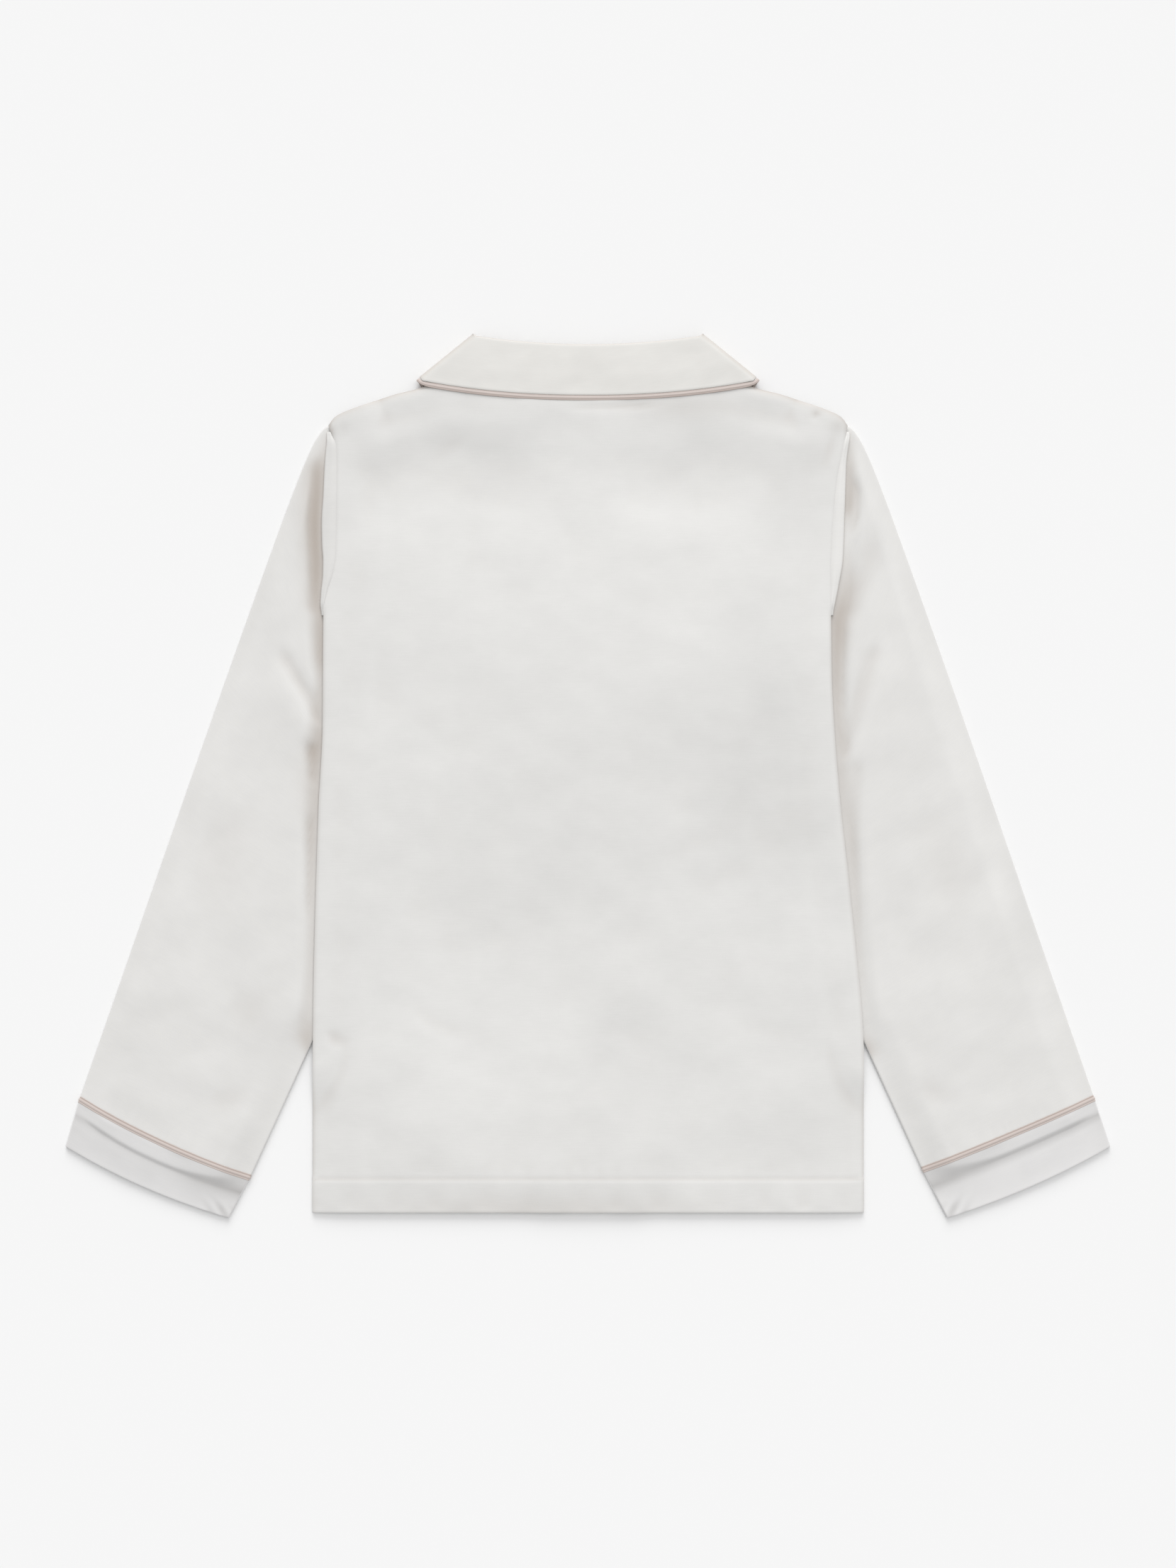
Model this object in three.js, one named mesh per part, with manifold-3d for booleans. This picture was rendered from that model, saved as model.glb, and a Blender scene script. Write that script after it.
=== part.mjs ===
// Pyjama jacket of light satin with beige piping, laid flat on its front and seen from the back.
// Millimetres. X runs across the jacket, Y from hem to collar and Z up from the surface it lies on.
// Left and right are the wearer's, so the left sleeve is on the -X side.
import * as THREE from 'three';
import Module from 'manifold-3d';

const wasm = await Module();
wasm.setup();

// Cloth
const WALL = 1.2;
const COLLAR_WALL = 1.4;
const GAP = 0.3;
const LAYER = WALL + GAP;
const RIM_BULGE = 0.2;

// Body: hem, neck and the overlap of the two fronts
const HEM_Y = -277;
const HEM_DEPTH = 21;
const HEM_GROOVE = { half: 1.5, depth: 0.25, band: 0.25 };
const NECK_X = 73;
const NECK_Y = 259;
const BACK_NECK_Y = 249;
const FRONT_NECK_Y = 197;
const NECK_POWER = { back: 2, front: 2.2 };
const SHOULDER_X = 164.5;
const OVERLAP = 15;
const NECK_COLUMNS = [0, 9, OVERLAP, 27, 41, 56, NECK_X];
const SHOULDER_COLUMNS = 6;
const OVERLAP_LIFT = { flat: 24, end: 50 };

// The shoulder seam, from the neck to the top of the armhole
const SHOULDER = [
  { x: 73, y: 259 },
  { x: 110.5, y: 244.6 },
  { x: 121.3, y: 242 },
  { x: 134.3, y: 237.8 },
  { x: 150, y: 232.4 },
  { x: 160.9, y: 227 },
  { x: 164.5, y: 222 },
];

// Half widths of the body from the armhole's top down to the hem
const SIDE_EDGE = {
  left: [
    { y: 222, x: 164.5 },
    { y: 210, x: 160 },
    { y: 201, x: 159.3 },
    { y: 141, x: 160 },
    { y: 128, x: 161.9 },
    { y: 116, x: 165.6 },
    { y: 106, x: 167.6 },
    { y: 30, x: 168.2 },
    { y: -22, x: 170.8 },
    { y: -182, x: 174.4 },
    { y: -277, x: 174.6 },
  ],
  right: [
    { y: 222, x: 164.5 },
    { y: 204, x: 160.9 },
    { y: 186, x: 157.7 },
    { y: 150, x: 154.6 },
    { y: 124, x: 153.9 },
    { y: 62, x: 154.5 },
    { y: 26, x: 156.4 },
    { y: -15, x: 159.7 },
    { y: -80, x: 166.7 },
    { y: -182, x: 174.8 },
    { y: -277, x: 174.8 },
  ],
};

// The roll of sleeve cloth that stands along the armhole seam
const ARMHOLE_ROLL = {
  left: [
    { y: 216, width: 4 },
    { y: 201, width: 7.7 },
    { y: 178, width: 8.8 },
    { y: 162, width: 9.6 },
    { y: 147, width: 9.1 },
    { y: 131, width: 7.1 },
    { y: 117, width: 4.2 },
    { y: 106, width: 3 },
  ],
  right: [
    { y: 216, width: 3.2 },
    { y: 204, width: 3.8 },
    { y: 186, width: 6 },
    { y: 166, width: 7.4 },
    { y: 150, width: 8 },
    { y: 137, width: 7.8 },
    { y: 121, width: 5.4 },
    { y: 106, width: 3 },
  ],
};

// Sleeves, in half widths from the centre line
const SLEEVE_SHOULDER = [
  { x: 156, y: 224 },
  { x: 165.8, y: 221.6 },
  { x: 170.8, y: 216.2 },
  { x: 176.6, y: 205.4 },
  { x: 187.9, y: 177.5 },
  { x: 194.6, y: 159.5 },
];
const SLEEVE_TUCK = { x: 116, y: -40 };
const SLEEVE_LOFT = 2.8;
const SLEEVE_RISE = { from: 5, to: 60 };
const TUBE_EDGE = 24;
const SLEEVE_FAN = { stations: 9, inner: 2, outer: 226, ease: 1.3 };
const SLEEVE_RUN = 8;

// Cuffs, and the piping in the seam above each
const CUFF_BOTTOM = { outer: { x: 331.7, y: -235.1 }, inner: { x: 227.9, y: -280.5 } };
const CUFF_SEAM = {
  left: { outer: { x: 323, y: -205.3 }, inner: { x: 214.4, y: -255.2 } },
  right: { outer: { x: 321.5, y: -204.5 }, inner: { x: 212.2, y: -250.2 } },
};
const CUFF_ROWS = [
  { along: 0, loft: 1.9 },
  { along: 0.3, loft: 1.7 },
  { along: 0.38, loft: 1.1 },
  { along: 0.46, loft: 2.5 },
  { along: 0.75, loft: 2.7 },
  { along: 1, loft: 1.8 },
];
const PIPING = { width: 3.8, height: 2.2, sides: 8 };
const COLLAR_PIPING = { width: 3.8, height: COLLAR_WALL, sides: 8 };

// Collar: plan of the seam, the roll and the outer edge, on the half where x is positive. The fold
// directions say which way the stand and the fall stand out where the collar turns to the front.
const COLLAR = {
  middle: 3.7,
  half: 2.15,
  seamClear: 0.85,
  neckPointRise: 0.7,
  standFold: { x: 1, y: 0.1 },
  fallFold: { x: 0.64, y: 0.77 },
  rollPower: 2,
  edgePower: 1.9,
  roll: { backY: 272.3, foldX: 71, foldY: 277.6, bendX: 40, bendY: 212, endX: 5, endY: 203.5 },
  edge: { backY: 241.7, foldX: 104.5, foldY: 250.6, bendX: 80, bendY: 205, endX: 45, endY: 170 },
  seamEndX: 3,
};
const COLLAR_FOLD_STEPS = 4;

// Buttons on the centre front
const BUTTON = { radius: 6, thick: 2, rim: 0.9, dish: 0.4, round: 0.4, hole: 0.8, pitch: 2.6, sides: 16 };
const BUTTON_TOP_Y = 182;
const BUTTON_SPACING = 87;
const BUTTON_COUNT = 5;
const BUTTON_DOME = { flat: 13, end: 32, backMargin: 8 };

// What lies under the fronts, as plan zones on the half where x is positive
const TUCK_ZONE = [
  { x: 156, y: 224 },
  { x: SLEEVE_TUCK.x, y: SLEEVE_TUCK.y },
  { x: 175, y: -171 },
  { x: 260, y: -171 },
  { x: 260, y: 224 },
];
const FRONT_COLLAR_ZONE = [
  { x: 2, y: 204 },
  { x: 46, y: 165 },
  { x: 82, y: 203 },
  { x: 110, y: 248 },
  { x: 76, y: 284 },
  { x: 0, y: 284 },
];
const BACK_COLLAR_ZONE = [
  { x: 0, y: 236 },
  { x: 60, y: 239.5 },
  { x: 90, y: 243.5 },
  { x: 112, y: 244 },
  { x: 76, y: 284 },
  { x: 0, y: 284 },
];
const TUCK_LIFT = { height: 2 * LAYER, flat: 14, end: 44 };
const COLLAR_LIFT = { height: 1.8, flat: 18, end: 46 };
const COLLAR_NEST = { height: 4.4, flat: 3, end: 31 };
const HEM_CLOSE = { share: 0.55, reach: 120 };
const SWELL_EDGE = { from: 10, to: 60 };
const CROWN = { middle: 5, side: 3.7, flat: 14, end: 90, edge: 60 };

// Largest soft swells of the back, and the largest folds of each sleeve
const BACK_SWELLS = [
  { x: -79, y: 150, reachX: 60, reachY: 38, height: 0.7 },
  { x: 76, y: 160, reachX: 55, reachY: 36, height: 0.7 },
  { x: -75, y: 205, reachX: 45, reachY: 20, height: -0.6 },
  { x: 100, y: 0, reachX: 50, reachY: 45, height: -0.5 },
  { x: -75, y: -180, reachX: 60, reachY: 60, height: 0.6 },
  { x: 60, y: -120, reachX: 50, reachY: 70, height: 0.5 },
];
const SLEEVE_FOLDS = {
  left: [
    { x1: 200, y1: 88, x2: 172, y2: 40, reach: 11, height: -1.1 },
    { x1: 212, y1: 74, x2: 186, y2: 22, reach: 14, height: 0.8 },
    { x1: 190, y1: 150, x2: 222, y2: 60, reach: 16, height: 0.6 },
    { x1: 192, y1: -20, x2: 215, y2: -120, reach: 16, height: -0.7 },
    { x1: 262, y1: -60, x2: 285, y2: -150, reach: 20, height: 0.5 },
  ],
  right: [
    { x1: 182, y1: 80, x2: 163, y2: 22, reach: 11, height: -1.1 },
    { x1: 196, y1: 66, x2: 178, y2: 0, reach: 14, height: 0.8 },
    { x1: 186, y1: 150, x2: 214, y2: 60, reach: 16, height: 0.6 },
    { x1: 186, y1: -20, x2: 200, y2: -100, reach: 14, height: -0.7 },
    { x1: 258, y1: -60, x2: 282, y2: -150, reach: 20, height: 0.5 },
  ],
};

const { clamp, lerp, smoothstep } = THREE.MathUtils;
const vec = (x, y, z) => new THREE.Vector3(x, y, z);

// Falls from 1 at the flat distance to 0 at the end distance.
const fade = (distance, { flat, end }) => 1 - smoothstep(distance, flat, end);

// Reads a table by one column and gives the other, with straight lines between rows.
function lookUp(rows, from, to, value) {
  const ascending = rows[0][from] < rows[rows.length - 1][from];
  const ordered = ascending ? rows : [...rows].reverse();
  const next = ordered.findIndex((row) => row[from] >= value);
  if (next === 0) return ordered[0][to];
  if (next < 0) return ordered[ordered.length - 1][to];
  const a = ordered[next - 1];
  const b = ordered[next];
  return lerp(a[to], b[to], (value - a[from]) / (b[from] - a[from]));
}

function distanceToSegment(x, y, a, b) {
  const dx = b.x - a.x;
  const dy = b.y - a.y;
  const t = clamp(((x - a.x) * dx + (y - a.y) * dy) / (dx * dx + dy * dy), 0, 1);
  return Math.hypot(x - a.x - t * dx, y - a.y - t * dy);
}

// Distance from a point to a plan zone, 0 inside it.
function distanceToZone(x, y, zone) {
  let nearest = Infinity;
  let inside = false;
  zone.forEach((b, k) => {
    const a = zone[(k + zone.length - 1) % zone.length];
    nearest = Math.min(nearest, distanceToSegment(x, y, a, b));
    if (a.y > y !== b.y > y && x < a.x + ((y - a.y) * (b.x - a.x)) / (b.y - a.y)) inside = !inside;
  });
  return inside ? 0 : nearest;
}

// The point a distance along a line through several plan points.
function pointAlong(points, distance) {
  let left = distance;
  for (let k = 1; k < points.length; k++) {
    const a = points[k - 1];
    const b = points[k];
    const length = Math.hypot(b.x - a.x, b.y - a.y);
    if (left <= length || k === points.length - 1) {
      return { x: a.x + ((b.x - a.x) * left) / length, y: a.y + ((b.y - a.y) * left) / length };
    }
    left -= length;
  }
}

function pathLength(points) {
  return points.slice(1).reduce((sum, b, k) => sum + Math.hypot(b.x - points[k].x, b.y - points[k].y), 0);
}

function geometryFrom(positions, index) {
  const geometry = new THREE.BufferGeometry();
  geometry.setAttribute('position', new THREE.Float32BufferAttribute(positions.flat(), 3));
  geometry.setIndex(index);
  return faceOutward(geometry);
}

// Turns every triangle over when a closed surface has come out inside out.
function faceOutward(geometry) {
  const position = geometry.getAttribute('position');
  const index = geometry.getIndex().array;
  const corner = (k) => new THREE.Vector3().fromBufferAttribute(position, index[k]);
  let volume = 0;
  for (let k = 0; k < index.length; k += 3) {
    volume += corner(k).dot(corner(k + 1).cross(corner(k + 2)));
  }
  if (volume < 0) {
    for (let k = 0; k < index.length; k += 3) [index[k], index[k + 1]] = [index[k + 1], index[k]];
  }
  return geometry;
}

// Gives a grid of points on the middle of the cloth an even wall with a softly rounded rim.
// A closed grid joins its last column to its first, as round a sleeve.
function clothWall(grid, wall, { closed = false, proud = () => 0 } = {}) {
  const rows = grid.length;
  const columns = grid[0].length;
  const at = (i, j) => {
    const column = closed ? (j + columns) % columns : clamp(j, 0, columns - 1);
    return grid[clamp(i, 0, rows - 1)][column];
  };
  const positions = [];
  const add = (point) => positions.push(point.toArray()) - 1;
  const across = (i, j) => at(i, j + 1).clone().sub(at(i, j - 1)).normalize();
  const down = (i, j) => at(i + 1, j).clone().sub(at(i - 1, j)).normalize();
  const upper = grid.map((row, i) => row.map((point, j) => {
    const normal = across(i, j).cross(down(i, j)).normalize();
    return add(point.clone().addScaledVector(normal, wall / 2 + proud(point)));
  }));
  const lower = grid.map((row, i) => row.map((point, j) => {
    const normal = across(i, j).cross(down(i, j)).normalize();
    return add(point.clone().addScaledVector(normal, -wall / 2));
  }));
  const index = [];
  const quad = (a, b, c, d) => index.push(a, b, c, a, c, d);
  for (let i = 0; i < rows - 1; i++) {
    for (let j = 0; j < (closed ? columns : columns - 1); j++) {
      const k = (j + 1) % columns;
      quad(upper[i][j], upper[i][k], upper[i + 1][k], upper[i + 1][j]);
      quad(lower[i][j], lower[i + 1][j], lower[i + 1][k], lower[i][k]);
    }
  }
  const loops = closed ? endLoops(rows, columns) : [borderLoop(rows, columns)];
  for (const loop of loops) {
    const middle = loop.map(([i, j]) => {
      const outward = vec(0, 0, 0);
      if (i === 0) outward.sub(down(i, j));
      if (i === rows - 1) outward.add(down(i, j));
      if (!closed && j === 0) outward.sub(across(i, j));
      if (!closed && j === columns - 1) outward.add(across(i, j));
      return add(grid[i][j].clone().addScaledVector(outward.normalize(), wall * RIM_BULGE));
    });
    loop.forEach(([i, j], k) => {
      const next = (k + 1) % loop.length;
      const [p, q] = loop[next];
      quad(upper[p][q], upper[i][j], middle[k], middle[next]);
      quad(middle[next], middle[k], lower[i][j], lower[p][q]);
    });
  }
  return geometryFrom(positions, index);
}

function borderLoop(rows, columns) {
  const loop = [];
  for (let j = 0; j < columns; j++) loop.push([0, j]);
  for (let i = 1; i < rows; i++) loop.push([i, columns - 1]);
  for (let j = columns - 2; j >= 0; j--) loop.push([rows - 1, j]);
  for (let i = rows - 2; i > 0; i--) loop.push([i, 0]);
  return loop;
}

function endLoops(rows, columns) {
  const first = Array.from({ length: columns }, (_, j) => [0, j]);
  const last = Array.from({ length: columns }, (_, j) => [rows - 1, columns - 1 - j]);
  return [first, last];
}

// Sweeps a flat oval along a path. Each path point has the direction that the oval's height stands in,
// and may have a height of its own.
function ovalCord(path, { width, height, sides }, closed) {
  const count = path.length;
  const at = (k) => path[closed ? (k + count) % count : clamp(k, 0, count - 1)].point;
  const positions = [];
  path.forEach(({ point, normal, height: pointHeight = height }, k) => {
    const along = at(k + 1).clone().sub(at(k - 1)).normalize();
    const side = along.clone().cross(normal).normalize();
    const stand = side.clone().cross(along).normalize();
    for (let s = 0; s < sides; s++) {
      const angle = (2 * Math.PI * s) / sides;
      const corner = point.clone().addScaledVector(side, (width / 2) * Math.cos(angle));
      corner.addScaledVector(stand, (pointHeight / 2) * Math.sin(angle));
      positions.push(corner.toArray());
    }
  });
  const index = [];
  for (let k = 0; k < (closed ? count : count - 1); k++) {
    const a = k * sides;
    const b = ((k + 1) % count) * sides;
    for (let s = 0; s < sides; s++) {
      const t = (s + 1) % sides;
      index.push(a + s, b + s, b + t, a + s, b + t, a + t);
    }
  }
  if (!closed) {
    const last = (count - 1) * sides;
    for (let s = 1; s < sides - 1; s++) index.push(0, s, s + 1, last, last + s + 1, last + s);
  }
  return geometryFrom(positions, index);
}

// Outline of the body
const sideX = (side, y) => lookUp(SIDE_EDGE[side], 'y', 'x', y);
const shoulderY = (x) => lookUp(SHOULDER, 'x', 'y', Math.abs(x));
const neckShare = (x) => clamp(Math.abs(x) / NECK_X, 0, 1);
const backNeckY = (x) => lerp(BACK_NECK_Y, NECK_Y, neckShare(x) ** NECK_POWER.back);
const frontNeckY = (x) => lerp(FRONT_NECK_Y, NECK_Y, neckShare(x) ** NECK_POWER.front);
const backTopY = (x) => (Math.abs(x) < NECK_X ? backNeckY(x) : shoulderY(x));
const frontTopY = (x) => (Math.abs(x) < NECK_X ? frontNeckY(x) : shoulderY(x));
const buttonY = (k) => BUTTON_TOP_Y - k * BUTTON_SPACING;

function edgeDistance(x, y) {
  const side = x < 0 ? 'left' : 'right';
  const top = Math.abs(x) < NECK_X ? NECK_Y : shoulderY(x);
  return Math.max(0, Math.min(sideX(side, y) - Math.abs(x), top - y));
}

// How far the fronts are held off the ground by the sleeve, the collar or a button under them.
// A margin spreads the rise over each button.
function frontLift(x, y, margin = 0) {
  const across = Math.abs(x);
  const tuck = TUCK_LIFT.height * fade(distanceToZone(across, y, TUCK_ZONE), TUCK_LIFT);
  const collar = COLLAR_LIFT.height * fade(distanceToZone(across, y, FRONT_COLLAR_ZONE), COLLAR_LIFT);
  let button = 0;
  for (let k = 0; k < BUTTON_COUNT; k++) {
    const dome = (BUTTON.thick + GAP) * fade(Math.hypot(x, y - buttonY(k)) - margin, BUTTON_DOME);
    button = Math.max(button, dome);
  }
  return Math.max(tuck, collar, button);
}

const overlapLift = (x) => LAYER * fade(Math.abs(x), OVERLAP_LIFT);

function hemBand(y) {
  const fromStitch = Math.abs(y - HEM_Y - HEM_DEPTH);
  if (fromStitch < HEM_GROOVE.half / 2) return -HEM_GROOVE.depth;
  return y < HEM_Y + HEM_DEPTH ? HEM_GROOVE.band : 0;
}

// Underside of the back: it rests on the fronts at its edges and bridges them in the middle.
function backLift(x, y) {
  const onFronts = frontLift(x, y, BUTTON_DOME.backMargin) + LAYER + overlapLift(x);
  const inside = edgeDistance(x, y);
  const crown = lerp(CROWN.side, CROWN.middle, fade(Math.abs(x), CROWN));
  const aboveHem = smoothstep(y - HEM_Y, 0, HEM_CLOSE.reach);
  const open = smoothstep(inside, 0, CROWN.edge) * lerp(HEM_CLOSE.share, 1, aboveHem);
  const swell = BACK_SWELLS.reduce((sum, row) => {
    const away = Math.hypot((x - row.x) / row.reachX, (y - row.y) / row.reachY);
    return sum + row.height * Math.exp(-away * away);
  }, 0);
  const bridge = LAYER + (crown - LAYER) * open + swell * smoothstep(inside, SWELL_EDGE.from, SWELL_EDGE.to);
  const nest = fade(distanceToZone(Math.abs(x), y, BACK_COLLAR_ZONE), COLLAR_NEST);
  return lerp(Math.max(onFronts, bridge), COLLAR_NEST.height, nest);
}

// Rows and columns that the back and the fronts share, so that their edges match at the seams
function panelRows() {
  const { half } = HEM_GROOVE;
  const hem = [0, HEM_DEPTH - half, HEM_DEPTH, HEM_DEPTH + half].map((depth) => HEM_Y + depth);
  const hemTop = HEM_Y + HEM_DEPTH + 6;
  const heights = [hemTop, hemTop + 26];
  for (let k = BUTTON_COUNT - 1; k >= 0; k--) {
    for (const offset of [-30, -9, 9, 30]) heights.push(buttonY(k) + offset);
  }
  const below = heights.filter((y) => y < FRONT_NECK_Y - 5);
  const shares = [...below, FRONT_NECK_Y].map((y) => (y - hemTop) / (FRONT_NECK_Y - hemTop));
  return { hem, hemTop, shares };
}

// Columns of one half, from the centre out: fixed places where the fronts overlap, then shares of the
// width between there and the side.
function halfColumns(side) {
  const sign = side === 'left' ? -1 : 1;
  const steps = Array.from({ length: SHOULDER_COLUMNS }, (_, k) => (k + 1) / SHOULDER_COLUMNS);
  const places = [...NECK_COLUMNS, ...steps.map((step) => lerp(NECK_X, SHOULDER_X, step))];
  return places.map((x) => ({ side, sign, topX: sign * x, share: (x - OVERLAP) / (SHOULDER_X - OVERLAP) }));
}

const columnX = ({ side, sign, topX, share }, y) => {
  return share <= 0 ? topX : sign * lerp(OVERLAP, sideX(side, y), share);
};

function panelGrid(columns, topY, liftAt) {
  const { hem, hemTop, shares } = panelRows();
  const pointAt = (column, y, edgeY) => {
    const x = columnX(column, edgeY);
    return vec(x, y, liftAt(x, y) + WALL / 2);
  };
  const hemRows = hem.map((y) => columns.map((column) => pointAt(column, y, y)));
  const bodyRows = shares.map((share) => columns.map((column) => {
    return pointAt(column, lerp(hemTop, topY(column.topX), share), lerp(hemTop, topY(SHOULDER_X), share));
  }));
  return [...hemRows, ...bodyRows];
}

// Corners of the body's side as its panels have them, with straight lines between
function panelSide(side) {
  const { hemTop, shares } = panelRows();
  return shares.map((share) => {
    const y = lerp(hemTop, shoulderY(SHOULDER_X), share);
    return { y, x: sideX(side, y) };
  });
}

function backPanel() {
  const columns = [...halfColumns('left').reverse(), ...halfColumns('right').slice(1)];
  return clothWall(panelGrid(columns, backTopY, backLift), WALL, { proud: (point) => hemBand(point.y) });
}

// The right front lies outermost, so it is next to the ground and the left front rests on it.
function frontPanel(side) {
  const other = side === 'left' ? 'right' : 'left';
  const overlap = halfColumns(other).filter(({ share, topX }) => share <= 0 && topX !== 0);
  const columns = [...overlap.reverse(), ...halfColumns(side)];
  if (side === 'left') columns.reverse();
  const lift = side === 'left' ? (x, y) => frontLift(x, y) + overlapLift(Math.min(x, 0)) : frontLift;
  return clothWall(panelGrid(columns, frontTopY, lift), WALL);
}

// One section round a flattened tube that runs from an inner to an outer edge point.
// The lower cloth lies flat on the ground and the upper one rises over it by heightAt.
function tubeSection(inner, outer, heightAt, steps = { top: 12, bottom: 5 }) {
  const start = vec(inner.x, inner.y, 0);
  const length = Math.hypot(outer.x - inner.x, outer.y - inner.y);
  const along = vec(outer.x, outer.y, 0).sub(start).normalize();
  const bend = LAYER / 2;
  const reach = WALL / 2 + bend;
  const low = WALL / 2;
  const at = (s, z) => start.clone().addScaledVector(along, s).setZ(z);
  const section = [];
  for (let k = 0; k <= steps.top; k++) {
    const s = lerp(reach, length - reach, k / steps.top);
    const edge = smoothstep(Math.min(s, length - s) - reach, 0, TUBE_EDGE);
    const plan = at(s, 0);
    section.push(at(s, low + LAYER + heightAt(plan.x, plan.y) * edge));
  }
  for (const angle of [30, -30]) {
    const turn = THREE.MathUtils.degToRad(angle);
    section.push(at(length - reach + bend * Math.cos(turn), low + bend + bend * Math.sin(turn)));
  }
  for (let k = steps.bottom; k >= 0; k--) {
    section.push(at(lerp(reach, length - reach, k / steps.bottom), low));
  }
  for (const angle of [-30, 30]) {
    const turn = THREE.MathUtils.degToRad(angle);
    section.push(at(reach - bend * Math.cos(turn), low + bend + bend * Math.sin(turn)));
  }
  return section;
}

function mirrored(grid, side) {
  if (side === 'right') return grid;
  return grid.map((row) => row.map((point) => vec(-point.x, point.y, point.z)));
}

// Rise of the sleeve's upper cloth: flat beside and under the body, full further out, with its folds.
function sleeveRise(side, x, y) {
  const outside = smoothstep(x - sideX(side, y), SLEEVE_RISE.from, SLEEVE_RISE.to);
  const folds = SLEEVE_FOLDS[side].reduce((sum, row) => {
    const away = distanceToSegment(x, y, { x: row.x1, y: row.y1 }, { x: row.x2, y: row.y2 }) / row.reach;
    return sum + row.height * Math.exp(-away * away);
  }, 0);
  return Math.max(0, SLEEVE_LOFT + folds) * outside;
}

function sleeveGrid(side) {
  const seam = CUFF_SEAM[side];
  const clear = PIPING.width / 2 + GAP + WALL * RIM_BULGE;
  const shoulder = SLEEVE_SHOULDER;
  const outerPath = [...shoulder, seam.outer];
  const innerPath = [SLEEVE_TUCK, seam.inner];
  const outerEnd = pathLength(outerPath) - clear;
  const innerEnd = pathLength(innerPath) - clear;
  const { stations, inner, outer, ease } = SLEEVE_FAN;
  const steps = [];
  for (let k = 0; k < stations; k++) steps.push({ inner: inner * k, outer: outer * (k / stations) ** ease });
  for (let k = 0; k <= SLEEVE_RUN; k++) {
    const share = k / SLEEVE_RUN;
    steps.push({ inner: lerp(inner * stations, innerEnd, share), outer: lerp(outer, outerEnd, share) });
  }
  const rise = (x, y) => sleeveRise(side, x, y);
  return steps.map((step) => {
    return tubeSection(pointAlong(innerPath, step.inner), pointAlong(outerPath, step.outer), rise);
  });
}

// The roll along the armhole seam: level with the back, turned over at its outer edge
// and joined to the sleeve's upper cloth underneath.
function armholeRollGrid(side) {
  const top = TUCK_LIFT.height + LAYER + WALL / 2;
  const bottom = LAYER + WALL / 2;
  const bend = (top - bottom) / 2;
  const widths = ARMHOLE_ROLL[side];
  const highest = widths[0].y;
  const lowest = widths[widths.length - 1].y;
  const corners = panelSide(side).filter(({ y }) => y < highest && y > lowest).reverse();
  const stations = corners.flatMap((corner, k) => {
    if (k === 0) return [corner];
    const before = corners[k - 1];
    return [{ x: (before.x + corner.x) / 2, y: (before.y + corner.y) / 2 }, corner];
  });
  return stations.map(({ x: seam, y }) => {
    const width = lookUp(widths, 'y', 'width', y);
    const from = seam + GAP + 2 * WALL * RIM_BULGE;
    const turn = Math.max(seam + width - WALL / 2 - bend, from + GAP);
    const row = [vec(from, y, top), vec(turn, y, top)];
    for (const angle of [45, 0, -45]) {
      const radians = THREE.MathUtils.degToRad(angle);
      row.push(vec(turn + bend * Math.cos(radians), y, bottom + bend + bend * Math.sin(radians)));
    }
    row.push(vec(turn, y, bottom), vec(from, y, bottom));
    return row;
  });
}

function toSolid(geometry) {
  const position = geometry.getAttribute('position');
  return new wasm.Manifold(new wasm.Mesh({
    numProp: 3,
    vertProperties: new Float32Array(position.array),
    triVerts: new Uint32Array(geometry.getIndex().array),
  }));
}

function fromSolid(solid) {
  const mesh = solid.getMesh();
  const geometry = new THREE.BufferGeometry();
  geometry.setAttribute('position', new THREE.Float32BufferAttribute(mesh.vertProperties, mesh.numProp));
  geometry.setIndex(Array.from(mesh.triVerts));
  return geometry;
}

function sleeve(side) {
  const tube = toSolid(clothWall(mirrored(sleeveGrid(side), side), WALL, { closed: true }));
  const roll = toSolid(clothWall(mirrored(armholeRollGrid(side), side), WALL));
  return fromSolid(tube.add(roll).simplify(0.02));
}

// The cuff starts below the piping and has a crease across it, deepest at its inner end.
function cuff(side) {
  const seam = CUFF_SEAM[side];
  const clear = PIPING.width / 2 + GAP + WALL * RIM_BULGE;
  const outerPath = [seam.outer, CUFF_BOTTOM.outer];
  const innerPath = [seam.inner, CUFF_BOTTOM.inner];
  const grid = CUFF_ROWS.map(({ along, loft }) => {
    const outer = pointAlong(outerPath, lerp(clear, pathLength(outerPath), along));
    const inner = pointAlong(innerPath, lerp(clear, pathLength(innerPath), along));
    return tubeSection(inner, outer, () => loft);
  });
  return clothWall(mirrored(grid, side), WALL, { closed: true });
}

// Piping that goes right round the sleeve in the seam between it and the cuff: proud of the cloth
// on the upper side and pressed to the cloth's thickness underneath
function cuffPiping(side) {
  const { outer, inner } = CUFF_SEAM[side];
  const rise = (x, y) => lerp(CUFF_ROWS[0].loft, sleeveRise(side, x, y), 0.5);
  const section = mirrored([tubeSection(inner, outer, rise, { top: 12, bottom: 5 })], side)[0];
  const middle = section.reduce((sum, point) => sum.add(point), vec(0, 0, 0)).divideScalar(section.length);
  const count = section.length;
  const path = section.map((point, k) => {
    const along = section[(k + 1) % count].clone().sub(section[(k + count - 1) % count]).normalize();
    const axis = vec(outer.y - inner.y, inner.x - outer.x, 0).normalize();
    if (side === 'left') axis.x = -axis.x;
    const normal = along.clone().cross(axis).normalize();
    if (normal.dot(point.clone().sub(middle)) < 0) normal.negate();
    const height = point.z < WALL ? WALL : PIPING.height;
    return { point: point.clone().addScaledVector(normal, (height - WALL) / 2), normal, height };
  });
  return ovalCord(path, PIPING, true);
}

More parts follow.
